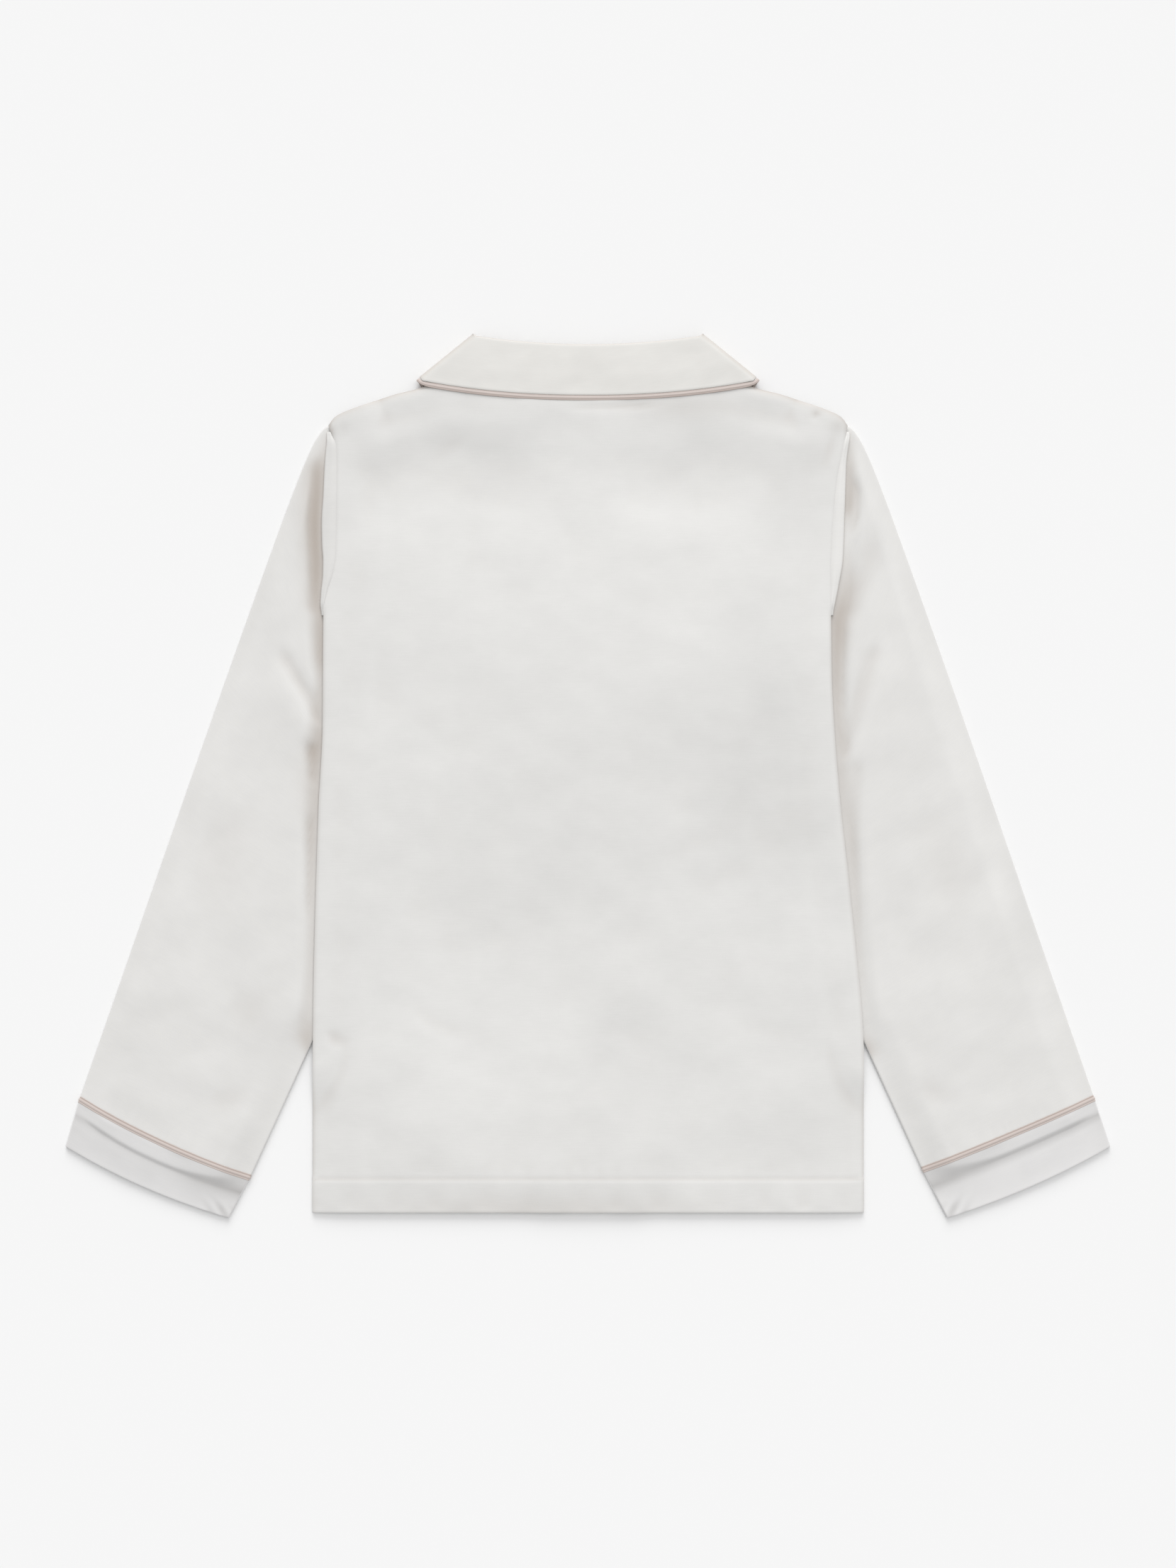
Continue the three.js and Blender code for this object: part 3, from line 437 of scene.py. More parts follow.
def back_lift(x, y):
    """How high the back's cloth lies over the fronts and what they lie on."""
    on_fronts = front_lift(x, y, 8.0) + LAYER + LAYER * fade(np.abs(x), *LAP_FADE)
    inside = edge_distance(x, y)
    crown = blend(CROWN_SIDE, CROWN_MIDDLE, fade(np.abs(x), 14, 110))
    spread = smooth(inside, 0, 30) * blend(0.15, 1.0, smooth(y - HEM_Y, 0, 110))
    bridge = LAYER + (crown - LAYER) * spread
    nest = fade(zone_distance(np.abs(x), y, BACK_COLLAR_ZONE), 3, 31)
    rounded = 0.9 * smooth(inside, 0, 20)
    higher = (on_fronts + bridge + np.sqrt((on_fronts - bridge) ** 2 + rounded**2)) / 2
    return blend(higher, NEST_LEVEL, nest)


def seam_height(x, y):
    """Middle height between the front and the back along the edges where they are sewn."""
    return (front_lift(x, y) + WALL + back_lift(x, y)) / 2


def edge_rounding(x, y, reach=5.0):
    """1 inside the panel and 0 at its sewn edge, on a quarter round; slight along the armhole."""
    share = np.clip(edge_distance(x, y) / reach, 0, 1)
    curve = np.sqrt(1 - (1 - share) ** 2)
    from_side = side_x(x, y) - np.abs(x)
    armhole = smooth(y, 98, 108) * (1 - smooth(y, 212, 220)) * fade(from_side, 5, 12)
    return blend(curve, blend(0.92, 1.0, curve), armhole)


def hem_puckers(x, y):
    """Ripples that the hem's stitching draws up, dying away above it."""
    wave = np.sin(x / 1.9 + 1.3 * np.sin(x / 13.7)) * (0.6 + 0.4 * np.sin(x / 31 + 2))
    scallop = np.sin(x / 4.6 + 0.9 * np.sin(x / 21)) * (0.7 + 0.3 * np.sin(x / 17))
    near = np.exp(-(((y - STITCH_Y) / 7) ** 2))
    band = smooth(y, HEM_Y - 1, HEM_Y + 5) * (1 - smooth(y, STITCH_Y - 2, STITCH_Y + 2))
    return 0.1 * wave * near + 0.2 * scallop * band * (1 - smooth(y, HEM_Y + 6, STITCH_Y + 1))


def hem_groove(y):
    return np.exp(-(((y - STITCH_Y) / 0.9) ** 2))


def cloth_thickness(y, cloth):
    """Single cloth above the hem's stitching and the turned-up hem, as thick as the solid's, below it."""
    return blend(WALL, cloth, smooth(y, STITCH_Y - 0.4, STITCH_Y + 2.2))


def panel_plan(places, rises, line):
    """Plan places of a panel. Rises from -1 to 0 lie in the hem and from 0 to 1 above it."""
    top_x, rise = np.meshgrid(places, rises)
    above = np.clip(rise, 0, 1)
    hem = blend(HEM_Y, HEM_TOP, np.clip(rise + 1, 0, 1))
    y = np.where(rise < 0, hem, blend(HEM_TOP, line(top_x), above))
    level = np.where(rise < 0, hem, blend(HEM_TOP, SHOULDER_Y, above))
    share = np.clip((np.abs(top_x) - OVERLAP) / (SHOULDER_X - OVERLAP), 0, 1)
    x = np.where(share > 0, np.sign(top_x) * blend(OVERLAP, side_x(top_x, level), share), top_x)
    return x, y


def panel_rises(hem_rows, rows):
    return np.concatenate([np.linspace(-1, 0, hem_rows)[:-1], np.linspace(0, 1, rows)])


def back_height(x, y):
    """Top surface of the back."""
    inside = edge_distance(x, y)
    calm = smooth(inside, 2, 30) * smooth(y - HEM_Y, 4, 60)
    top = back_lift(x, y) + WALL + 1.35 * swells(x, y, BACK_SWELLS) * calm
    top = top + creases(x, y, BACK_CREASES) * smooth(inside, 0, 5)
    top = top + ripples(x, y, 11, 60, 0.16) * calm + ripples(x, y, 12, 23, 0.04) * smooth(inside, 2, 14)
    return top + hem_puckers(x, y) - 0.35 * hem_groove(y) + 0.25 * (y < STITCH_Y)


def back_surface(x, y, cloth):
    """Middle of the back's cloth."""
    thick = cloth_thickness(y, cloth)
    inner = back_height(x, y) - thick / 2
    return blend(seam_height(x, y) + thick / 2, inner, edge_rounding(x, y)), thick


# Meshes


def wall_part(grid, thick, place, shade, tone=None, closed=False):
    """A closed shell round a grid of points on the middle of the cloth, with a rounded rim.

    The grid is rows by columns by 3, in millimetres. A closed one joins its last column to its first.
    Place is where each point lies on the cut cloth, shade how much painted shade darkens its satin in folds,
    creases and gaps, and tone the painted light (above zero) and painted shade (below zero) on its satin.
    """
    rows, columns = grid.shape[:2]
    if closed:
        around = np.roll(grid, -1, 1) - np.roll(grid, 1, 1)
    else:
        around = np.gradient(grid, axis=1)
    down = np.gradient(grid, axis=0)
    around, down = unit(around), unit(down)
    normal = np.cross(around, down)
    normal /= np.maximum(np.linalg.norm(normal, axis=2, keepdims=True), 1e-9)
    half = np.broadcast_to(np.asarray(thick, float) / 2, (rows, columns))[..., None]
    number = np.arange(rows * columns).reshape(rows, columns)
    points = [(grid + normal * half).reshape(-1, 3), (grid - normal * half).reshape(-1, 3)]
    count = rows * columns
    a, b = number[:-1], number[1:]
    if closed:
        c, d = np.roll(a, -1, 1), np.roll(b, -1, 1)
    else:
        a, c, b, d = a[:, :-1], a[:, 1:], b[:, :-1], b[:, 1:]
    faces = [np.stack([a, c, d, b], -1).reshape(-1, 4), np.stack([a, b, d, c], -1).reshape(-1, 4) + count]
    origin = [number.ravel(), number.ravel()]
    if closed:
        loops = [number[0], number[-1][::-1]]
    else:
        loops = [np.concatenate([number[0], number[1:, -1], number[-1, -2::-1], number[-2:0:-1, 0]])]
    total = 2 * count
    flat_grid, flat_normal, flat_half = grid.reshape(-1, 3), normal.reshape(-1, 3), half.reshape(-1, 1)
    outward = np.zeros_like(grid)
    outward[0] -= down[0]
    outward[-1] += down[-1]
    if not closed:
        outward[:, 0] -= around[:, 0]
        outward[:, -1] += around[:, -1]
    outward = outward.reshape(-1, 3)
    outward /= np.maximum(np.linalg.norm(outward, axis=1, keepdims=True), 1e-9)
    for loop in loops:
        rings = [loop]
        for angle in (45, 0, -45):
            turn = math.radians(angle)
            side = outward[loop] * flat_half[loop] * 0.8 * math.cos(turn)
            points.append(flat_grid[loop] + side + flat_normal[loop] * flat_half[loop] * math.sin(turn))
            rings.append(np.arange(total, total + len(loop)))
            origin.append(loop)
            total += len(loop)
        rings.append(loop + count)
        for ring, below in zip(rings, rings[1:]):
            faces.append(np.stack([np.roll(ring, -1), ring, below, np.roll(below, -1)], -1))
    points, faces, origin = np.concatenate(points), np.concatenate(faces), np.concatenate(origin)
    place = np.concatenate([place, np.zeros((rows, columns, 1))], 2).reshape(-1, 3)
    tone = np.zeros((rows, columns)) if tone is None else tone
    marks = {"cloth_place": place, "fold_depth": np.ravel(shade), "cloth_tone": np.ravel(tone)}
    return points, faces, {label: values[origin] for label, values in marks.items()}


def signed_volume(points, faces):
    a, b, c, d = (points[faces[:, k]] for k in range(4))
    first = np.einsum("ij,ij->", a, np.cross(b, c))
    return first + np.einsum("ij,ij->", a, np.cross(c, d))


def mesh_object(name, points, faces, marks):
    """A mesh from points in millimetres and faces, where a triangle has its last corner twice."""
    mesh = bpy.data.meshes.new(name)
    corners = [face[:3] if face[2] == face[3] else face for face in faces.tolist()]
    mesh.from_pydata((points * MM).tolist(), [], corners)
    for label, values in marks.items():
        values = np.asarray(values, np.float32)
        if values.ndim == 2:
            mesh.attributes.new(label, "FLOAT_VECTOR", "POINT").data.foreach_set("vector", values.ravel())
        else:
            mesh.attributes.new(label, "FLOAT", "POINT").data.foreach_set("value", values)
    mesh.shade_smooth()
    mesh.update()
    piece = bpy.data.objects.new(name, mesh)
    bpy.context.scene.collection.objects.link(piece)
    return piece


def joined(name, parts):
    """One mesh out of several closed parts of points, faces and marks, each turned to face outward."""
    points, faces, marks, total = [], [], {}, 0
    for part_points, part_faces, part_marks in parts:
        if signed_volume(part_points, part_faces) < 0:
            part_faces = part_faces[:, [2, 1, 0, 3]]
            odd = part_faces[:, 0] == part_faces[:, 3]
            part_faces[odd] = part_faces[odd][:, [1, 2, 0, 0]]
        points.append(part_points)
        faces.append(part_faces + total)
        for label, values in part_marks.items():
            marks.setdefault(label, []).append(values)
        total += len(part_points)
    marks = {label: np.concatenate(values) for label, values in marks.items()}
    return mesh_object(name, np.concatenate(points), np.concatenate(faces), marks)


def fan(ring, centre, flip):
    """Triangles from a ring of points to its centre, each with its last corner twice."""
    pairs = np.stack([ring, np.roll(ring, -1)], -1)
    pairs = pairs[:, ::-1] if flip else pairs
    middle = np.full((len(ring), 1), centre)
    return np.concatenate([pairs, middle, middle], 1)


def sweep(path, stand, profile, closed=False):
    """Points and faces of a closed profile carried along a path. The profile has columns across and
    up, and stand is the direction that up points in, at each place of the path."""
    if closed:
        along = np.roll(path, -1, 0) - np.roll(path, 1, 0)
    else:
        along = np.gradient(path, axis=0)
    along = unit(along)
    across = unit(np.cross(along, stand))
    up = np.cross(across, along)
    wide, high = profile[..., 0], profile[..., 1]
    if profile.ndim == 2:
        wide, high = wide[None, :], high[None, :]
    points = path[:, None] + across[:, None] * wide[..., None] + up[:, None] * high[..., None]
    rings, sides = points.shape[:2]
    number = np.arange(rings * sides).reshape(rings, sides)
    lower = number if closed else number[:-1]
    upper = np.roll(number, -1, 0) if closed else number[1:]
    faces = [np.stack([lower, upper, np.roll(upper, -1, 1), np.roll(lower, -1, 1)], -1).reshape(-1, 4)]
    points = points.reshape(-1, 3)
    if not closed:
        ends = np.stack([points[number[0]].mean(0), points[number[-1]].mean(0)])
        faces += [fan(number[0], len(points), False), fan(number[-1], len(points) + 1, True)]
        points = np.concatenate([points, ends])
    return points, np.concatenate(faces)


def along_path(points, distance):
    """Places at distances along a smooth line through plan points."""
    points = np.array(points, float)
    total = np.concatenate([[0], np.cumsum(np.hypot(*np.diff(points, axis=0).T))])
    return np.stack([eased(list(zip(total, points[:, k])), distance) for k in range(2)], -1)


def path_length(points):
    return float(np.hypot(*np.diff(np.array(points, float), axis=0).T).sum())


def tube_grid(inner, outer, rise, thick, bow, across=66, under=24):
    """Rings round a flattened tube that lies on the floor, and how far round and along each point is.

    Inner and outer are the plan places of its two edges on each row, which bows between them by bow.
    Its upper cloth rises by rise(x, y, share), where the share runs from 0 at the inner edge to 1 at
    the outer one. Across and under count the points over its upper and its lower cloth.
    """
    low, high = thick / 2, LAYER + WALL - thick / 2
    bend = (high - low) / 2
    flat = 0.5 * bend
    reach = thick / 2 + flat
    length = np.linalg.norm(outer - inner, axis=1)[:, None]
    toward = (outer - inner) / length
    even = np.linspace(0, 1, across)
    spread = blend(even, 0.5 - 0.5 * np.cos(math.pi * even), 0.5)
    turn = np.radians(np.linspace(72, -72, 6))
    top = reach + (length - 2 * reach) * spread
    bottom = reach + (length - 2 * reach) * np.linspace(1, 0, under)
    out_turn = length - reach + flat * np.cos(turn)
    in_turn = np.broadcast_to(reach - flat * np.cos(turn[::-1]), out_turn.shape)
    place = np.concatenate([top, out_turn, bottom, in_turn], 1)
    level = np.concatenate([
        np.full(top.shape, high),
        np.broadcast_to(low + bend + bend * np.sin(turn), out_turn.shape),
        np.full(bottom.shape, low),
        np.broadcast_to(low + bend + bend * np.sin(turn[::-1]), out_turn.shape),
    ], 1)
    plan = inner[:, None] + toward[:, None] * place[..., None]
    lean = np.reshape(bow, (-1, 1)) * 4 * place * (length - place) / length**2
    plan = plan + np.stack([toward[:, 1], -toward[:, 0]], -1)[:, None] * lean[..., None]
    upper = np.zeros(place.shape[1], bool)
    upper[:across] = True
    edge = smooth(np.minimum(place, length - place) - reach, 0, EDGE_REACH)
    lift = rise(plan[..., 0], plan[..., 1], place / length) * edge * upper
    grid = np.concatenate([plan, (level + lift)[..., None]], 2)
    step = np.linalg.norm(np.diff(grid, axis=1, prepend=grid[:, -1:]), axis=2)
    step[:, 0] = 0
    along = travelled(grid[:, across // 2])
    place = np.stack([np.cumsum(step, 1), np.broadcast_to(along[:, None], step.shape)], -1)
    return grid, place, upper


def mirrored(grid, side):
    return grid * np.array([-1.0, 1.0, 1.0]) if side == "left" else grid


def signed(side):
    return -1.0 if side == "left" else 1.0


def body_edge(side, y):
    """Half width of the body with the roll along its armhole."""
    roll = eased(ROLL[side], y)
    within = smooth(y, 100, 106) * (1 - smooth(y, 217, 221))
    return side_x(signed(side), y) + roll * within


def sleeve_rise(side, x, y, depth):
    """Rise of the sleeve's upper cloth: flat under the body, quickly up beside it, full further out."""
    outside = x - body_edge(side, y)
    seed = 21 if side == "left" else 22
    rise = SLEEVE_LOFT * blend(0.7 * smooth(outside, 0.6, 12), 1.0, smooth(outside, 8, 64))
    rise = rise + depth * creases(x, y, SLEEVE_CREASES[side]) * smooth(outside, -1, 3)
    rise = rise + ripples(x, y, seed, 52, 0.22) * smooth(outside, 6, 40)
    rise = rise + ripples(x, y, seed + 2, 19, 0.04) * smooth(outside, 6, 20)
    return np.maximum(rise, 0) * smooth(outside, 0, 2)


def sleeve_rows(side, fan_rows=84, run_rows=112):
    """Plan places of the sleeve's inner and outer edge, fanned out from the armhole to the cuff."""
    seam_outer, seam_inner = CUFF_SEAM[side]
    outer_path, inner_path = (*SLEEVE_TOP, seam_outer), (SLEEVE_TUCK, seam_inner)
    share = np.arange(fan_rows) / fan_rows
    run = np.linspace(0, 1, run_rows)
    inner_end, outer_end = path_length(inner_path) - PIPING_LAP, path_length(outer_path) - PIPING_LAP
    inner = np.concatenate([SLEEVE_FAN["inner"] * share, blend(SLEEVE_FAN["inner"], inner_end, run)])
    outer = np.concatenate([
        SLEEVE_FAN["outer"] * share ** SLEEVE_FAN["ease"], blend(SLEEVE_FAN["outer"], outer_end, run),
    ])
    return along_path(inner_path, inner), along_path(outer_path, outer)


def roll_grid(side, thick):
    """The roll of sleeve cloth along the armhole: level with the back, over its edge and down."""
    y = np.linspace(218, 102, 84)
    seam = side_x(signed(side), y)
    width = eased(ROLL[side], y)
    sink = 1.4 * smooth(y, 211, 219) + 1.2 * (1 - smooth(y, 101, 110))
    level = 3 * LAYER + WALL - thick / 2 - sink
    floor = LAYER + WALL - thick / 2
    start = seam + 0.05
    bend = np.minimum((level - floor) * 0.5, np.maximum(width * 0.45, 0.6))
    turn_x = np.maximum(seam + width - thick / 2 - bend, start + 0.2)
    wrinkle = 0.12 * np.sin(y / 2.3 + 1.2 * np.sin(y / 9)) * np.exp(-(((y - 210) / 14) ** 2))
    columns = []
    for share in np.linspace(0, 1, 9):
        bulge = 0.35 * math.sin(math.pi * share) - 0.1 * (1 - share) ** 4
        columns.append(np.stack([blend(start, turn_x, share), y, level + bulge + wrinkle], -1))
    for angle in np.radians(np.linspace(75, 0, 6)):
        drop = bend - bend * math.sin(angle)
        columns.append(np.stack([turn_x + bend * math.cos(angle), y, level - drop], -1))
    for share in (0.5, 1.0):
        columns.append(np.stack([turn_x + bend, y, blend(level - bend, floor, share)], -1))
    grid = np.stack(columns, 1)
    return grid, np.stack([travelled(grid, 1), grid[..., 1]], -1)


def cuff_rise(side, along, share):
    """Rise of the cuff's upper cloth: a band below the piping drops into a crease, which widens
    into a pocket at its inner end, and the lower band lies fuller below it."""
    crease = eased(CUFF_CREASE[side], share)
    start = crease - blend(0.3, 0.07, smooth(share, 0.0, 0.45))
    deep = blend(2.1, 1.3, smooth(share, 0.0, 0.4)) + 0.3 * smooth(share, 0.75, 1.0)
    drop = smooth(along, start, crease) * (1 - 0.75 * smooth(along, crease + 0.01, 0.98))
    lower = -1.9 * smooth(along, 0.45, 1.0)
    corner = np.exp(-(((share - 0.05) / 0.08) ** 2)) * smooth(along, 0.6, 0.8)
    pucker = corner * 0.5 * np.sin(along * 23 + 60 * share)
    wave = 0.12 * np.sin(share * 9 + 2.2 * along) + 0.07 * np.sin(share * 23 + 5 * along + 1)
    return 2.75 - 0.2 * along - deep * drop + lower + pucker + wave


def cuff_shade(side, along, share):
    """Painted shade below the cuff's crease, deepest at its inner end, on the lower part of its outer end and just
    below its seam, and in the puckers of its corner.
    """
    below = along - eased(CUFF_CREASE[side], share)
    reach = np.where(below > 0, 0.16, blend(0.22, 0.05, smooth(share, 0.0, 0.5)))
    strength = eased(CUFF_SHADE[side], share)
    ends = 0.16 * smooth(share, 0.82, 1.0) * smooth(along, 0.4, 0.6) + 0.14 * fade(along, 0.0, 0.2)
    corner = np.exp(-(((share - 0.05) / 0.07) ** 2)) * smooth(along, 0.66, 0.85)
    pucker = corner * (0.25 + 0.25 * np.sin(along * 23 + 60 * share + 3.1))
    return strength * np.exp(-np.abs(below) / reach) + ends + pucker


def cuff_rows(side, rows=34):
    seam_outer, seam_inner = CUFF_SEAM[side]
    ends = []
    for seam, bottom in ((seam_inner, CUFF_BOTTOM[1]), (seam_outer, CUFF_BOTTOM[0])):
        length = path_length((seam, bottom))
        ends.append(along_path((seam, bottom), np.linspace(PIPING_LAP, length, rows)))
    return ends


def neck_seam_y(x):
    return blend(FRONT_NECK_Y, NECK_Y, np.clip(np.abs(x) / NECK_X, 0, 1) ** 2.2)


def bezier(line, t):
    (ax, ay), (bx, by), (cx, cy) = line
    first, middle, last = (1 - t) ** 2, 2 * t * (1 - t), t * t
    return np.stack([first * ax + middle * bx + last * cx, first * ay + middle * by + last * cy], -1)


def collar_lines(place):
    """Plan places of the collar's seam, roll and outer edge. Places from 0 to 1 lie on the back and
    from 1 to 2 on the front."""
    back = np.clip(place, 0, 1)
    t = np.clip(place - 1, 0, 1)
    steps = np.arange(len(NECK_PLACES)) / (len(NECK_PLACES) - 1)
    seam_x = np.interp(back, steps, NECK_PLACES)
    share = seam_x / NECK_X
    seam_back = np.stack([seam_x, blend(BACK_NECK_Y, NECK_Y, share**2) + 0.85 + 0.7 * share**4], -1)
    fold_x, fold_y = ROLL_FRONT[0]
    roll_back = np.stack([fold_x * share, blend(ROLL_BACK_Y, fold_y, share**2)], -1)
    fold_x, fold_y = EDGE_FRONT[0]
    edge_back = np.stack([fold_x * share, blend(EDGE_BACK_Y, fold_y, share**2.2)], -1)
    front_x = blend(3, NECK_X, np.interp(1 - t, steps, NECK_PLACES) / NECK_X)
    slope = neck_seam_y(front_x + 0.5) - neck_seam_y(front_x - 0.5)
    tilt = np.hypot(1, slope)
    seam_front = np.stack([front_x - 0.85 * slope / tilt, neck_seam_y(front_x) + 0.85 / tilt], -1)
    on_back = (place <= 1)[..., None]
    return (
        np.where(on_back, seam_back, seam_front),
        np.where(on_back, roll_back, bezier(ROLL_FRONT, t)),
        np.where(on_back, edge_back, bezier(EDGE_FRONT, t)),
    )


def collar_grid():
    """Rows from the neck seam over the roll to the outer edge, and columns from the left front end
    round the back of the neck to the right front end. Then where each point lies on the cut cloth,
    how far it is on the back's fall and how much it turns over."""
    half = [(place, 0.0) for place in np.linspace(0, 1, 60)[:-1]]
    half += [(1.0, angle) for angle in np.radians(np.linspace(0, 180, 15))]
    half += [(place, math.pi) for place in np.linspace(1, 2, 50)[1:]]
    columns = [(place, angle, -1.0) for place, angle in half[:0:-1]]
    columns += [(place, angle, 1.0) for place, angle in half]
    rows = [(0, share, COLLAR_HALF - COLLAR_BEND, 0.0) for share in np.linspace(0, 1, 12)[:-1]]
    for angle in np.radians(np.linspace(0, 180, 11)):
        rows.append((0, 1.0, COLLAR_HALF - COLLAR_BEND * math.cos(angle), COLLAR_BEND * math.sin(angle)))
    rows += [(1, share, COLLAR_HALF + COLLAR_BEND, 0.0) for share in np.linspace(0, 1, 27)[1:]]
    place, angle, sign = (np.array(column)[None, :] for column in zip(*columns))
    part, share, half_height, out = (np.array(row)[:, None] for row in zip(*rows))
    seam, roll, edge = collar_lines(place)
    upward = unit(roll - seam)
    start = np.where(part[..., None] == 0, seam, roll)
    end = np.where(part[..., None] == 0, roll, edge)
    plan = blend(start, end, share[..., None]) + upward * out[..., None]
    to_fall = smooth(half_height, COLLAR_HALF - COLLAR_BEND, COLLAR_HALF + COLLAR_BEND)[..., None]
    outward = unit(blend(np.array([1.0, 0.1]), np.array([0.64, 0.77]), to_fall))
    plan = plan + outward * (half_height * np.sin(angle))[..., None]
    level = COLLAR_MIDDLE + half_height * np.cos(angle)
    x, y = plan[..., 0] * sign, plan[..., 1]
    on_back = part * np.clip(np.cos(angle), 0, 1) * smooth(share, 0.0, 0.25)
    level = level + on_back * (ripples(x, y, 31, 34, 0.16) + ripples(x, y, 32, 13, 0.03))
    level = level - 0.45 * part * smooth(share, 0.55, 1.0) * np.clip(np.cos(angle), 0, 1)
    grid = np.stack([x, y, level], -1)
    turning = np.maximum(out / COLLAR_BEND, np.sin(angle) * (np.cos(angle) > -0.5))
    return grid, np.stack([travelled(grid, 1), travelled(grid)], -1), on_back, turning


# Sign of the section's across on the side of the bead that lies away from the hem, for each piping, the
# share of painted shade left to the groove on its other side and the collar's share of the bead's full width
UPPER_CUFF = -1.0
UPPER_COLLAR = 1.0
LOWER_GROOVE_SHADE = 0.1
COLLAR_BEAD = 0.82

# Half of the bead's section, from its middle out: across, up, share of painted shade in the groove
BEAD = (
    (0.0, 1.12, 0), (0.3, 1.08, 0), (0.55, 0.97, 0.2), (0.75, 0.82, 0.6), (0.88, 0.7, 1), (1.0, 0.62, 1),
    (1.12, 0.62, 1), (1.26, 0.68, 0.8), (1.5, 0.74, 0.7), (1.78, 0.62, 0.8), (1.98, 0.3, 1), (2.0, -0.35, 1),
)


def bead_section():
    right = np.array(BEAD, float)
    left = right[:0:-1] * np.array([-1.0, 1.0, 1.0])
    whole = np.concatenate([left, right])
    return whole[:, :2], whole[:, 2]


def bead(path, stand, press, width, closed, upper):
    """Points, faces and marks of a piping bead, with painted shade in its groove on the side away from the hem,
    which upper gives, and a little on the other side. Press and width are the shares of its height and its width
    left at each place."""
    section, groove_shade = bead_section()
    groove_shade = groove_shade * np.where(section[:, 0] * upper > 0, 1.0, LOWER_GROOVE_SHADE)
    profile = np.repeat(section[None], len(path), 0)
    profile[..., 0] *= width[:, None]
    profile[..., 1] = np.where(profile[..., 1] > 0, profile[..., 1] * press[:, None], profile[..., 1])
    points, faces = sweep(path, stand, profile, closed)
    along = np.repeat(travelled(path)[:, None], len(section), 1).ravel()
    across = np.tile(section[:, 0], len(path))
    place = np.stack([along, across, np.zeros(len(along))], -1)
    depth = np.tile(groove_shade, len(path))
    missing = len(points) - len(depth)
    place = np.concatenate([place, np.zeros((missing, 3))])
    depth = np.concatenate([depth, np.zeros(missing)])
    return points, faces, {"cloth_place": place, "fold_depth": depth}


def cuff_piping_path(side, thick):
    """Closed path round the sleeve in the seam above the cuff, the direction the bead stands in, and
    its press and width."""
    seam_outer, seam_inner = (np.array(end, float) for end in CUFF_SEAM[side])
    grid, _, _ = tube_grid(
        seam_inner[None], seam_outer[None], lambda x, y, share: seam_rise(share), thick, CUFF_BOW[side][0],
        CUFF_COLUMNS, 40,
    )
    ring = grid[0]
    along = np.roll(ring, -1, 0) - np.roll(ring, 1, 0)
    axis = np.array([seam_outer[1] - seam_inner[1], seam_inner[0] - seam_outer[0], 0.0])
    stand = unit(np.cross(along, axis))
    if stand[len(ring) // 4][2] < 0:
        stand = -stand
    press = np.clip((ring[:, 2] - thick / 2) / 1.6, 0.0, 1.0) * 0.58 + 0.22
    return mirrored(ring, side), mirrored(stand, side), press, np.full(len(ring), 1.1)


def collar_piping_path(thick):
    """Path beside the collar's outer edge and up its two front ends, the direction the bead stands in,
    and its press and width."""
    grid, _, _, _ = collar_grid()
    edge, inside = grid[-1], grid[-2]
    along = unit(np.gradient(edge, axis=0))
    out = edge - inside
    out = unit(out - along * (out * along).sum(1, keepdims=True))
    clear = thick * 0.4 - 0.05 + COLLAR_BEAD * BEAD[-1][0]
    line = edge + out * clear
    stand = np.cross(along, out)
    stand *= np.sign(stand[len(stand) // 2][2])
    ends = []
    for column, neighbour in ((0, 1), (-1, -2)):
        end, beside = grid[-1:-18:-2, column], grid[-1:-18:-2, neighbour]
        ends.append(end + unit(end - beside) * clear)
    corner_left = ends[0][:1] + (line[:1] - edge[:1])
    corner_right = ends[1][:1] + (line[-1:] - edge[-1:])
    path = np.concatenate([ends[0][:0:-1], corner_left, line[2:-2], corner_right, ends[1][1:]])
    stands = np.concatenate([
        np.repeat(stand[:1], len(ends[0]), 0), stand[2:-2], np.repeat(stand[-1:], len(ends[1]), 0),
    ])
    for _ in range(2):
        path[1:-1] = (path[:-2] + 2 * path[1:-1] + path[2:]) / 4
    on_back = smooth(path[:, 2], 4.5, 6)
    press = np.clip((path[:, 2] - 1.5) / 3, 0, 1) * 0.2 + 0.22
    tip = np.exp(-(((np.abs(path[:, 0]) - EDGE_FRONT[0][0] - 2) / 5) ** 2))
    path[:, 2] -= 0.12 * on_back
    return path, stands, press * (1 - 0.4 * tip), COLLAR_BEAD * (1 - 0.3 * tip)


# Buttons: section from the middle of the face round to the middle of the back: radius, height
BUTTON_SECTION = (
    (0, 0.42), (2.6, 0.42), (3.7, 0.40), (4.3, 0.30), (4.7, 0.14), (5.0, 0.03), (5.3, 0.0), (5.6, 0.05),
    (5.85, 0.22), (5.97, 0.5), (6.0, 0.85), (5.95, 1.25), (5.75, 1.6), (5.3, 1.86), (4.6, 1.97), (0, 2.0),
)
HOLE_OFFSET = 1.3
HOLE_RADIUS = 0.8
BUTTON_HOLES = tuple((x, y) for x in (HOLE_OFFSET, -HOLE_OFFSET) for y in (HOLE_OFFSET, -HOLE_OFFSET))

# Shank of thread behind each hole: share of the hole's place, height
SHANK = ((1.0, 0.4), (1.0, 2.0), (0.7, 2.3), (0.5, 2.9))
SHANK_RADIUS = 0.5

# Stitches: length and gap, radius of the thread in the hems, in the front edge and in the buttonholes,
# how far a stitch lies off the cloth, and half the length of a buttonhole and its stitches a side
STITCH_LENGTH = 2.0
STITCH_GAP = 0.7
HEM_THREAD = 0.17
EDGE_THREAD = 0.15
HOLE_THREAD = 0.24
STITCH_CLEAR = 0.05
BUTTONHOLE_HALF = 8.2
BUTTONHOLE_STITCHES = 40


